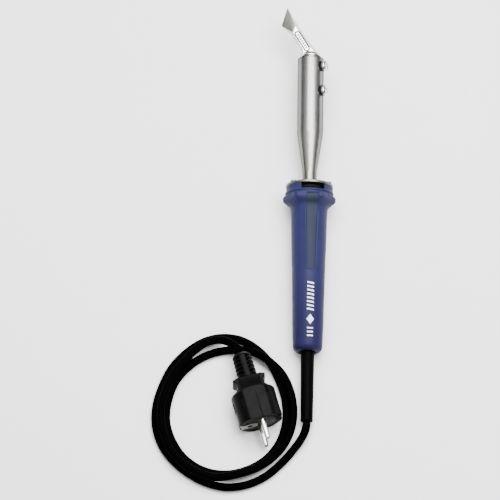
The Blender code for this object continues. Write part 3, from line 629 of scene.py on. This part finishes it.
ARM_HALF = 4.5
BLADE_POINT = Vector((-20.7, 0, -45.6))
BLADE_HEEL = Vector((-25.6, 0, -29.3))
BLADE_EDGE = 0.45
BLADE_SLOPE = radians(19.4)
BLADE_START = -20.0
SAME_WAY = 0.985
FACET_BLOCK = Vector((30, 44, 12))
FACET_BLOCK_REACH = 16
ARM_ALONG = Vector((-0.53, 0, -0.848)).normalized()
ARM_UP = Vector((0, 1, 0))
PANEL_HALF = 7.5


def bit_arm():
    """The bent arm: a flat above and below, a broad chamfer down its right side and a plain left side."""
    outer = [
        (-20.7, -45.6, 0.0), (-10.9, -29.0, 0.0), (-0.4, -13.2, 6.0), (3.4, -8.6, 5.0), (7.2, -4.9, 1.0),
        (7.4, -3.0, 1.0), (5.2, -0.4, 0.5), (5.2, 4.0, 0.0), (-5.2, 4.0, 0.0), (-5.2, -0.4, 0.5),
        (-6.8, -3.0, 1.0), (-7.4, -7.6, 3.0), (-16.7, -22.9, 3.0), (-20.4, -25.4, 3.0), (-25.6, -29.3, 0.0),
    ]
    inner = [
        (-22.3, -41.6, 0.0), (-13.4, -27.5, 0.0), (-2.9, -11.7, 6.0), (0.6, -7.6, 5.0), (3.6, -4.6, 1.0),
        (4.6, -2.8, 1.0), (4.6, -0.4, 0.5), (4.6, 4.0, 0.0), (-4.6, 4.0, 0.0), (-4.6, -0.4, 0.5),
        (-6.4, -3.0, 1.0), (-7.1, -7.5, 3.0), (-16.4, -22.7, 3.0), (-20.1, -25.2, 3.0), (-25.2, -29.2, 0.0),
    ]
    wide, narrow = fillets(outer, closed=True, pieces=4), fillets(inner, closed=True, pieces=4)
    layers = [(-ARM_HALF, narrow), (-0.8, wide), (0.8, wide), (ARM_HALF, narrow)]
    return prism("bit_arm", layers, IRON)


def facet_inward():
    """The direction from the blade's edge into the blade, level with it."""
    inward = (BLADE_POINT - BLADE_HEEL).normalized().cross(ARM_UP).normalized()
    return inward if inward.x > 0 else -inward


def facet_normal(side):
    return ARM_UP * side * cos(BLADE_SLOPE) - facet_inward() * sin(BLADE_SLOPE)


def facet_tool(side):
    """A block whose face is the working facet: it starts at the blade's edge and rises away from it."""
    along_edge = (BLADE_POINT - BLADE_HEEL).normalized()
    up = ARM_UP * side
    rise = facet_inward() * cos(BLADE_SLOPE) + up * sin(BLADE_SLOPE)
    outward = facet_normal(side)
    place = Matrix((along_edge, rise, outward)).transposed().to_4x4()
    middle = (BLADE_POINT + BLADE_HEEL) / 2 + up * BLADE_EDGE
    place.translation = middle + rise * FACET_BLOCK_REACH + outward * FACET_BLOCK.z / 2
    shape = bmesh.new()
    bmesh.ops.create_cube(shape, size=1, matrix=place @ Matrix.Diagonal((*FACET_BLOCK, 1)))
    return mesh_piece("facet_tool", shape, IRON, [])


def soldering_bit():
    shank = [
        (0, 60, 0), (SHANK_R, 60, 1), (SHANK_R, -1.7, 0.2), (8.4, -1.7, 0.2), (8.4, -2.6, 0.6),
        (7.6, -4.2, 2), (5.8, -5.6, 3), (2.8, -6.3, 3),
        (0, -6.4, 0),
    ]
    bit = turned("soldering_bit_plated", shank, IRON, BIT_PLATE)
    arm = combine(bit_arm(), facet_tool(1), facet_tool(-1))
    ease(arm, 0.28, 3)
    facets = [facet_normal(side) for side in (1, -1)]
    arm.data.materials.append(BIT_PLATE)
    arm.data.materials.append(BIT_FACET)
    for face in arm.data.polygons:
        if face.center.z < BLADE_START * MM and any(face.normal.dot(n) > SAME_WAY for n in facets):
            face.material_index = 1
    keep(bit, "bit", "plated_bit", "soldering_bit")
    keep(arm, "bit", "plated_bit")
    bit_panel()


def bit_panel():
    """A stadium-shaped rim on the arm's flat with plain cross bars inside it, both near-black: the rim is painted
    shade for the shadowed groove round the panel, and the bars are near-black marks.
    """
    across = ARM_ALONG.cross(ARM_UP).normalized()
    middle = Vector((-7.71, ARM_HALF, -14.61))

    def stadium(radius):
        points = []
        for end in (1, -1):
            for k in range(13):
                turn = pi * k / 12
                offset = ARM_ALONG * (PANEL_HALF + radius * sin(turn)) + across * radius * cos(turn)
                points.append(middle + offset * end)
        return points

    rim = bead("bit_panel_rim", stadium(2.15), 0.62, ARM_UP, IRON, BIT_PANEL_SHADE_AND_MARKS)
    keep(rim, "bit", "plated_bit")
    shape = bmesh.new()
    for k in range(7):
        centre = middle + ARM_ALONG * (k - 3) * 2.2
        rings = []
        for height, shrink in ((-0.2, 1.0), (0.3, 1.0), (0.5, 0.7)):
            rings.append([
                centre + across * a * shrink + ARM_ALONG * (b * 0.62 * shrink + a * 0.25) + ARM_UP * height
                for a, b in ((-1, -1), (1, -1), (1, 1), (-1, 1))
            ])
        add_rings(shape, rings)
    keep(mesh_piece("bit_panel_bars", shape, IRON, [BIT_PANEL_SHADE_AND_MARKS]), "bit", "plated_bit")


# ---------------------------------------------------------------- barrel and clamp screws

SHANK_R = 6.8
CLAMP_STATIONS = {"front": 8.0, "rear": 30.0}
CLAMP_ANGLE = radians(30)
CLAMP_SEAT = 12.0
WASHER_STEPS = 72
WASHER_START = radians(200)
WASHER_TURN = 2 * pi * 0.965
WASHER_RISE = 0.084


def barrel():
    """The thin steel tube: a lip rolled in at its mouth, a long body, a taper and the neck."""
    profile = [
        (6.1, 137.2, 0), (6.1, 101.5, 14), (11.15, 67.5, 22), (11.2, 2.4, 0), (11.2, 0.0, 0.9),
        (8.5, 0.0, 0.4), (8.5, 1.1, 0.4),
        (10.0, 1.3, 0.5), (10.4, 3.4, 1.0), (10.4, 67.5, 22), (5.5, 101.5, 14), (5.5, 137.2, 0),
    ]
    tube = turned("barrel_steel_tube", profile, IRON, TUBE_STEEL, steps=112, loop=True)
    for station in CLAMP_STATIONS.values():
        inner, outer = (
            Vector((r * cos(CLAMP_ANGLE), r * sin(CLAMP_ANGLE), station)) for r in (8.0, 13.0)
        )
        combine(tube, peg("tube_hole", 2.8, inner, outer, IRON, 40))
    keep(tube, "iron", "barrel_steel", "barrel_tube")


def clamp_frame(place):
    """The frame of a clamp screw: Z outwards along the joint's axis, X towards the bit."""
    joint = JOINTS[place + "_screw_turn"]
    z = Vector(joint["axis"]).normalized()
    x = -(IRON.to_3x3() @ Vector((0, 0, 1)))
    made = Matrix((x, z.cross(x), z)).transposed().to_4x4()
    made.translation = Vector(joint["pos_m"]) - z * CLAMP_SEAT * MM
    return made


def clamp_screw(place, slot_turn):
    """A pan-head screw with a slot, in a split spring washer."""
    here = clamp_frame(place)
    profile = [
        (0, 15.9, 0), (2.7, 15.8, 1.5), (4.2, 15.1, 1.2), (4.45, 13.6, 0.4), (4.35, 12.5, 0.2),
        (2.45, 12.5, 0),
        (2.45, 8.0, 0), (1.7, 7.15, 0.2), (0, 7.15, 0),
    ]
    screw = turned(place + "_screw_head", profile, here, ZINC, steps=64)
    slot = block("slot", (-6, -0.6, 14.5), (6, 0.6, 17), here, turn=slot_turn)
    combine(screw, slot)
    keep(screw, place + "_screw", "zinc_screws", place + "_clamp_screw")
    shape = bmesh.new()
    rings = []
    for k in range(WASHER_STEPS + 1):
        turn = WASHER_START + WASHER_TURN * k / WASHER_STEPS
        rise = WASHER_RISE * (k / WASHER_STEPS - 0.5)
        corners = [
            (2.85, 11.42), (2.85, 12.12), (3.0, 12.22), (4.5, 12.22),
            (4.65, 12.1), (4.65, 11.42), (4.5, 11.3), (3.0, 11.3),
        ]
        rings.append([Vector((r * cos(turn), r * sin(turn), z + rise)) for r, z in corners])
    add_rings(shape, rings)
    washer = mesh_piece(place + "_spring_washer", shape, here, [BLACK_OXIDE])
    keep(washer, "iron", "black_washers", place + "_clamp_washer")


# ---------------------------------------------------------------- heat shield

HANDLE_TURN = radians(8.5)
SHIELD_R = 20.2
SHIELD_SCREWS = (60, 180, 300)
SHIELD_SCREW_CIRCLE = 17.3


def clock(radius, angle, station):
    """A point at an angle clockwise from the handle's own top, seen from the cord's end."""
    turn = angle + HANDLE_TURN
    return Vector((radius * sin(turn), radius * cos(turn), station))


def heat_shield():
    profile = [
        (SHIELD_R, 116.1, 0.5), (SHIELD_R, 113.9, 0.5), (15.0, 113.9, 0), (9.2, 113.9, 0), (8.4, 113.5, 0.5),
        (7.0, 113.4, 0.3), (6.4, 113.8, 0.2),
        (6.4, 116.1, 0.2),
    ]
    disc = turned("heat_shield_plate", profile, IRON, DISC_STEEL, steps=112, loop=True)
    for angle in SHIELD_SCREWS:
        centre = clock(SHIELD_SCREW_CIRCLE, radians(angle), 0)
        tool = peg("hole", 1.9, centre + Vector((0, 0, 110)), centre + Vector((0, 0, 120)), IRON, 24)
        combine(disc, tool)
    keep(disc, "iron", "barrel_steel", "heat_shield_disc")
    for number, angle in enumerate(SHIELD_SCREWS, 1):
        centre = clock(SHIELD_SCREW_CIRCLE, radians(angle), 0)
        here = IRON @ Matrix.Translation(centre * MM)
        profile = [
            (0, 124.0, 0), (1.5, 124.0, 0), (1.5, 113.6, 0), (2.75, 113.6, 0.2), (2.65, 112.5, 0.5),
            (1.7, 111.85, 0.8), (0, 111.7, 0),
        ]
        screw = turned(f"shield_screw_head_{number}", profile, here, DULL_ZINC, steps=40)
        cross = [
            block("slot", (-4, -0.35, 110), (4, 0.35, 112.6), here, turn=radians(angle + quarter))
            for quarter in (20, 110)
        ]
        combine(screw, *cross)
        keep(screw, "iron", "zinc_screws", f"shield_screw_{number}")


# ---------------------------------------------------------------- handle

COLLAR_FRONT = 116.4
COLLAR_BACK = 121.6
GRIP_END = 257.2
FLANGE_FLAT = 20.0
FLANGE_CORNER = 22.9
CORNER_SOFTNESS = 0.35
WHOLLY_ROUND = 20
FLUTE_START = 125.0
FLUTE_END = 192.7
FLUTE_DEPTH = 0.75
GRIP = [
    (110.0, 20.2), (122.0, 20.2), (125.4, 20.1), (128.0, 19.4), (131.0, 17.9), (133.5, 16.6),
    (136.5, 15.8), (142.0, 15.45), (149.0, 15.3), (168.0, 14.95), (184.0, 14.4), (215.0, 13.75),
    (240.0, 13.3), (252.0, 12.9), (GRIP_END, 12.7),
]
SIDE_STEPS = 18


def grip_radius(station):
    return curve_through(GRIP, station)


def flute_half(station):
    share = min(max((station - FLUTE_START) / (FLUTE_END - FLUTE_START), 0), 1)
    return 4.9 - 1.5 * share


def columns(station):
    """Angles from the flute's middle to the side, and what each column is."""
    radius = grip_radius(min(station, GRIP_END))
    half = flute_half(station)
    marks = [
        (0.0, "floor"), (half * 0.5, "floor"), (half - 0.3, "floor"), (half - 0.12, "wall"),
        (half + 0.22, "brow"), (half + 0.75, "ridge"), (half + 1.5, "slope"), (half + 2.4, "plain"),
    ]
    angles = [(asin(x / radius), kind) for x, kind in marks]
    last = angles[-1][0]
    for k in range(1, SIDE_STEPS):
        angles.append((last + (pi / 2 - last) * k / SIDE_STEPS, "plain"))
    quarter = angles + [(pi / 2, "plain")]
    half_turn = quarter + [(pi - a, kind) for a, kind in reversed(quarter[:-1])]
    whole = half_turn + [(2 * pi - a, kind) for a, kind in reversed(half_turn[1:-1])]
    return whole


def hexagon_radius(angle):
    """The flange's outline: a hexagon with rounded corners, its flats up and down."""
    local = (angle + pi / 6) % (pi / 3) - pi / 6
    straight = FLANGE_FLAT / cos(local)
    excess = (straight - FLANGE_CORNER) / CORNER_SOFTNESS
    if excess > WHOLLY_ROUND:
        return FLANGE_CORNER
    return straight - CORNER_SOFTNESS * log(1 + exp(excess))


def outer_radius(station, angle, kind):
    radius = grip_radius(station)
    flange = blend_value(station, 122.9, 125.2) * (1 - blend_value(station, 127.6, 133.7))
    radius += (hexagon_radius(angle + HANDLE_TURN) - radius) * flange
    lip = blend_value(station, 121.2, 121.7) * (1 - blend_value(station, 122.7, 123.2))
    radius = max(radius, 20.2 + 0.65 * lip) if station < 125.6 else radius
    deep = blend_value(station, FLUTE_START - 0.1, FLUTE_START + 0.9)
    deep *= 1 - blend_value(station, 191.0, FLUTE_END + 0.2)
    ridge = blend_value(station, 132.0, 142.0) * (1 - blend_value(station, 188.0, FLUTE_END))
    shares = {
        "floor": -FLUTE_DEPTH * deep, "wall": -0.62 * deep, "brow": 0.3 * ridge, "ridge": 0.5 * ridge,
        "slope": 0.2 * ridge,
    }
    return radius + shares.get(kind, 0.0)


def handle_ring(station, radius=None):
    """A ring of the handle at a station: its outer surface, or a plain circle."""
    ring = []
    for angle, kind in columns(station):
        r = outer_radius(station, angle, kind) if radius is None else radius
        turn = angle + HANDLE_TURN
        ring.append(Vector((r * sin(turn), r * cos(turn), station)))
    return ring


def handle():
    """The moulded grip: collar, lip, six-sided flange, flutes above and below, and a rounded tail."""
    edge = [handle_ring(COLLAR_FRONT, 19.9), handle_ring(COLLAR_FRONT + 0.1, 20.12)]
    stations = spaced(COLLAR_FRONT + 0.3, COLLAR_BACK, 0.9) + spaced(COLLAR_BACK, 127.0, 0.24)
    stations += spaced(127.0, 141.0, 0.7) + spaced(141.0, 190.0, 2.2) + spaced(190.0, 193.6, 0.45)
    stations += spaced(193.6, GRIP_END, 2.6)
    outside = [handle_ring(z) for z in stations]
    tail = [(8.2 + 4.5 * cos(a), GRIP_END + 5.0 * sin(a)) for a in [pi / 2 * k / 8 for k in range(9)]]
    tail += [
        (7.2, 262.1), (6.5, 261.7), (6.2, 261.2), (6.2, 248.0), (9.2, 248.0), (9.2, 219.0), (10.3, 217.0),
        (10.3, 192.0), (11.3, 190.0), (11.3, 134.6), (14.0, 134.6), (14.0, 121.9), (14.5, 121.9),
        (14.5, COLLAR_FRONT),
    ]
    inside = [handle_ring(z, r) for r, z in tail]
    count = len(columns(150))
    flute_columns = {k for k, (_, kind) in enumerate(columns(150)) if kind in ("floor", "wall")}

    def finish(ring, column):
        station = outside[ring - 2][0].z if 2 <= ring < len(outside) + 2 else 0
        both = column in flute_columns and (column + 1) % count in flute_columns
        return 1 if both and FLUTE_START + 0.6 < station < FLUTE_END - 0.9 else 0

    rings = [*edge, *outside, *inside]
    grip = loft("handle_grip", rings, IRON, BLUE, FLUTE, loop=True, angle=32, material=finish)
    for angle in (0, 120, 240):
        turn = -radians(angle) - HANDLE_TURN
        tool = block("vent", (-9.6, 10, 113), (10.3, 26, 121.5), IRON, edge=0.5, turn=turn)
        combine(grip, tool, angle=32)
    keep(grip, "iron", "handle_blue", "handle")


def handle_mark():
    """Plain white bars and a lozenge printed along the grip, where a maker would put a name."""
    shape = bmesh.new()

    def patch(corners, steps=6):
        rows = []
        for i in range(steps + 1):
            row = []
            for j in range(steps + 1):
                u, v = i / steps, j / steps
                shares = ((1 - u) * (1 - v), u * (1 - v), u * v, (1 - u) * v)
                x, z = (sum(share * corner[n] for share, corner in zip(shares, corners)) for n in (0, 1))
                surface = grip_radius(z)
                angle = asin(x / surface) + HANDLE_TURN
                row.append([
                    Vector((r * sin(angle), r * cos(angle), z)) for r in (surface - 0.1, surface + 0.03)
                ])
            rows.append(row)
        low = [[shape.verts.new(p[0]) for p in row] for row in rows]
        top = [[shape.verts.new(p[1]) for p in row] for row in rows]
        for i in range(steps):
            for j in range(steps):
                for layer in (low, top):
                    shape.faces.new([layer[i][j], layer[i + 1][j], layer[i + 1][j + 1], layer[i][j + 1]])
        for i in range(steps):
            for a, b in (
                ((i, 0), (i + 1, 0)), ((i, steps), (i + 1, steps)),
                ((0, i), (0, i + 1)), ((steps, i), (steps, i + 1)),
            ):
                shape.faces.new([low[a[0]][a[1]], low[b[0]][b[1]], top[b[0]][b[1]], top[a[0]][a[1]]])

    for k in range(8):
        z = 203.0 + 3.35 * k
        patch([(-2.9, z), (2.9, z + 0.9), (2.9, z + 2.3), (-2.9, z + 1.4)])
    patch([(0, 231.9), (3.2, 236.3), (0, 240.7), (-3.2, 236.3)])
    for k in range(3):
        z = 243.6 + 3.3 * k
        patch([(-2.5, z), (2.5, z), (2.5, z + 1.1), (-2.5, z + 1.1)])
    keep(mesh_piece("handle_mark", shape, IRON, [WHITE_INK]), "iron", "handle_blue")


def sleeve():
    """The bend relief: a soft tube that tapers a little and ends in a thickened lip."""
    profile = [
        (3.8, SLEEVE_END, 0), (5.15, SLEEVE_END, 0.5), (5.35, 322.6, 0.4), (5.3, 321.4, 0.5),
        (5.2, 320.8, 0.4), (5.45, 300, 0),
        (5.85, 262.2, 0), (5.85, 247.7, 0), (8.4, 247.7, 0.3), (8.4, 244.2, 0.3), (3.8, 244.2, 0),
    ]
    made = turned("bend_relief_rubber", profile, IRON, SLEEVE_RUBBER, steps=64, loop=True)
    keep(made, "iron", "black_rubber", "bend_relief_sleeve")


# ---------------------------------------------------------------- plug

PLUG_R = 19.2
PLUG_FLAT = 17.3
PANEL_HEIGHT = 16.5
PLUG_SHOULDER = 28.4
PANEL_END = 24.5
HEAD_END = 41.0
PIN_OFFSET = 9.5
PIN_LEAN = 0.8
EARTH_HOLE_X = 10.0


def plug_ring(radius, station):
    """A circle with its top and bottom cut flat."""
    ring = circle(radius, station, 96)
    for point in ring:
        point.y = min(max(point.y, -PLUG_FLAT), PANEL_HEIGHT)
    return ring


def plug_body():
    """The round moulded body with flats, its winged finger grip and the slope down to the relief."""
    line = fillets([
        (16.0, 5.9, 0), (16.0, 0.0, 0.3), (PLUG_R, 0.0, 0.9), (PLUG_R, PLUG_SHOULDER, 2.6),
        (0.01, PLUG_SHOULDER, 0),
    ])
    rings = [plug_ring(r, z) for r, z in line]
    body = loft("plug_shell", rings, PLUG, PLUG_RUBBER)
    combine(body, plug_head(), operation="UNION")
    for side in (1, -1):
        low, high = sorted((side * 16.7, side * 30))
        combine(body, block("clip_groove", (low, -4.3, -2), (high, 4.3, 21), PLUG, edge=0.4))
        low, high = sorted((side * 10.6, side * 11.7))
        combine(body, block("grip_recess", (low, 13.4, 12.0), (high, 22, 21.5), PLUG))
    combine(body, block("seam", (-1.35, PANEL_HEIGHT - 0.35, -1), (-1.0, 22, 23.5), PLUG))
    combine(body, block("notch", (-1.7, PANEL_HEIGHT - 0.9, -1), (-0.65, 22, 9.0), PLUG))
    ease(body, 0.3, 2, limit=40)
    return keep(body, "iron", "plug_plastic", "plug_body")


def plug_head():
    right = [
        (15.6, 22.0, 0), (15.2, 27.6, 1.0), (11.9, 31.2, 1.2), (11.3, 36.4, 0.6), (14.0, 37.9, 0.5),
        (14.3, 39.6, 0.5), (10.8, 41.0, 0.8),
    ]
    left = [(-x, z, r) for x, z, r in reversed(right)]
    outline = fillets([*right, *left], closed=True, pieces=4)
    wings = prism("plug_wings", [(-9.4, outline), (9.4, outline)], PLUG)
    ease(wings, 1.0, 3)
    top = [(8.0, PANEL_HEIGHT - 0.05, 0), (PANEL_END, PANEL_HEIGHT - 0.05, 2.0), (HEAD_END, 9.0, 1.0)]
    bottom = [(HEAD_END, -9.0, 1.0), (PANEL_END, -PLUG_FLAT, 2.0), (8.0, -PLUG_FLAT, 0)]
    outline = fillets([*top, *bottom], closed=True, pieces=4)
    wedge = prism("plug_wedge", [(-9.2, outline), (9.2, outline)], PLUG, axis="X")
    ease(wedge, 0.8, 3)
    return combine(wings, wedge, operation="UNION")


def plug_relief():
    """The ribbed strain relief: slots in from both sides, a smooth spine above and below, and a core."""
    profile = [
        (0, HEAD_END + 0.3, 0), (8.7, HEAD_END + 0.3, 0.4), (8.6, 46.0, 0), (8.2, 61.0, 0.5),
        (7.8, 62.2, 0.8), (5.6, RELIEF_END, 0.6),
        (3.7, RELIEF_END, 0.3), (3.7, 58.0, 0), (0, 58.0, 0),
    ]
    relief = turned("plug_relief_ribbed", profile, PLUG, PLUG_RUBBER, steps=72)
    pitch = 3.6
    for k in range(5):
        z = 44.4 + pitch * k
        for side in (1, -1):
            low, high = sorted((side * 2.4, side * 12))
            tool = block("slot", (low, -12, z), (high, 12, z + 1.9), PLUG, edge=0.35)
            combine(tool, peg("core", 4.9, (0, 0, z - 3), (0, 0, z + 6), PLUG, 40))
            combine(relief, tool)
    ease(relief, 0.25, 2, limit=40)
    return keep(relief, "iron", "plug_plastic", "plug_strain_relief")


def plug_face():
    """The insert that carries the pins, with a fine ring round its edge and a collar round each pin."""
    profile = [
        (0, 0.1, 0), (13.9, 0.1, 0.1), (13.9, 0.5, 0.1), (14.5, 0.5, 0.1), (14.5, 0.1, 0.1),
        (15.8, 0.1, 0.4), (15.8, 5.6, 0), (0, 5.6, 0),
    ]
    insert = turned("plug_face_insert", profile, PLUG, PLUG_RUBBER, steps=80)
    for side in (1, -1):
        pin = Vector((-side * PIN_LEAN, side * PIN_OFFSET, 0))
        profile = [(0, 0.3, 0), (3.6, 0.3, 0), (3.6, -0.25, 0.2), (0, -0.25, 0)]
        ring = turned("collar", profile, PLUG @ Matrix.Translation(pin * MM), steps=40)
        combine(insert, ring, operation="UNION")
        combine(insert, peg("pin_hole", 2.55, pin + Vector((0, 0, -2)), pin + Vector((0, 0, 7)), PLUG, 36))
    hole = Vector((EARTH_HOLE_X, 0, 0))
    combine(insert, peg("earth_hole", 2.9, hole + Vector((0, 0, -2)), hole + Vector((0, 0, 7)), PLUG, 40))
    return keep(insert, "iron", "plug_plastic", "plug_pin_carrier")


def plug_pin(name, side):
    here = PLUG @ Matrix.Translation(Vector((-side * PIN_LEAN, side * PIN_OFFSET, 0)) * MM)
    profile = [
        (0, 5.5, 0), (2.4, 5.5, 0), (2.4, -16.2, 1.0), (2.1, -17.9, 1.2), (1.2, -18.8, 0.8), (0, -19.0, 0),
    ]
    made = turned(f"plug_pin_bright_{name}", profile, here, NICKEL, steps=48)
    return keep(made, "iron", "nickel", f"plug_pin_{name}")


def earth_contacts():
    """Sprung strips in the side grooves; the left one folds over the face round the earth hole."""
    made = []
    for name, side in (("left", 1), ("right", -1)):
        end = [(17.6, 0.6, 1.2), (17.2, -0.55, 0.6), (3.4, -0.55, 0)] if side > 0 else [(17.4, 0.4, 0)]
        line = fillets([(17.0, 20.0, 0), (17.6, 17.0, 1), (18.35, 12.0, 3), (18.3, 6.0, 3), *end])
        rings = []
        for i, (x, z) in enumerate(line):
            a, b = Vector(line[max(i - 1, 0)]), Vector(line[min(i + 1, len(line) - 1)])
            across = (b - a).normalized()
            normal = Vector((-across.y, across.x)) * 0.25
            corners = ((-3.7, -1), (3.7, -1), (3.7, 1), (-3.7, 1))
            rings.append([Vector((side * (x + w * normal.x), y, z + w * normal.y)) for y, w in corners])
        strip = loft(f"earth_strip_{name}", rings, PLUG, DULL_NICKEL)
        if side > 0:
            hole = Vector((EARTH_HOLE_X, 0, 0))
            depth = Vector((0, 0, 4))
            combine(strip, peg("strip_hole", 2.5, hole - depth, hole + depth, PLUG, 36))
        made.append(keep(strip, "iron", "nickel", f"earth_contact_{name}"))
    return made


# ---------------------------------------------------------------- carried-over nodes, floor and light


def finish_inner_nodes():
    """CAD nodes that stay as they are, inside the handle and barrel, get finishes by their slots."""
    slots = {entry["node"]: entry["material_slot"] for entry in frame["record"]["subparts"]}
    for name, node in NODES.items():
        if node.hide_render or slots[name] not in INSIDE:
            continue
        node.data.materials.clear()
        node.data.materials.append(INSIDE[slots[name]])


def add_floor():
    made = new_material("pale_floor", (0.93, 0.93, 0.93), 0.0, 0.85)
    clouded = ramp(made, noise(made, 60), (0.3, (0.925, 0.925, 0.925)), (0.7, (0.94, 0.94, 0.94)))
    drive(made, "Base Color", clouded)
    shape = bmesh.new()
    bmesh.ops.create_grid(shape, x_segments=8, y_segments=8, size=3000)
    floor = mesh_piece("floor", shape, Matrix.Identity(4), [made])


def area_light(name, place, target, size, power):
    data = bpy.data.lights.new(name, "AREA")
    data.shape = "RECTANGLE"
    data.size, data.size_y = size
    data.energy = power
    lamp = bpy.data.objects.new(name, data)
    bpy.context.scene.collection.objects.link(lamp)
    lamp.location = place
    lamp.rotation_euler = (Vector(target) - Vector(place)).to_track_quat("-Z", "Y").to_euler()


def add_light():
    area_light("overhead", (0.16, 0.27, 1.3), (0, 0.1, 0), (1.35, 0.95), 62)
    area_light("left_fill", (-1.0, -0.3, 1.1), (0, 0, 0), (0.7, 1.0), 2)
    world = bpy.data.worlds.new("studio")
    bpy.context.scene.world = world
    world.use_nodes = True
    nodes, links = world.node_tree.nodes, world.node_tree.links
    place = nodes.new("ShaderNodeTexCoord")
    split = nodes.new("ShaderNodeSeparateXYZ")
    shade = nodes.new("ShaderNodeValToRGB")
    links.new(place.outputs["Generated"], split.inputs["Vector"])
    links.new(split.outputs["Z"], shade.inputs["Fac"])
    links.new(shade.outputs["Color"], nodes["Background"].inputs["Color"])
    dark, pale = shade.color_ramp.elements
    dark.position, dark.color = 0.2, (0.06, 0.06, 0.06, 1)
    pale.position, pale.color = 0.75, (1, 1, 1, 1)
    nodes["Background"].inputs["Strength"].default_value = 1.1


# ---------------------------------------------------------------- everything

soldering_bit()
barrel()
clamp_screw("front", radians(35))
clamp_screw("rear", radians(60))
heat_shield()
handle()
handle_mark()
sleeve()
PLUG_PIECES = [
    plug_body(), plug_relief(), plug_face(), plug_pin("upper", 1), plug_pin("lower", -1), *earth_contacts(),
]
finish_inner_nodes()
add_floor()
add_light()
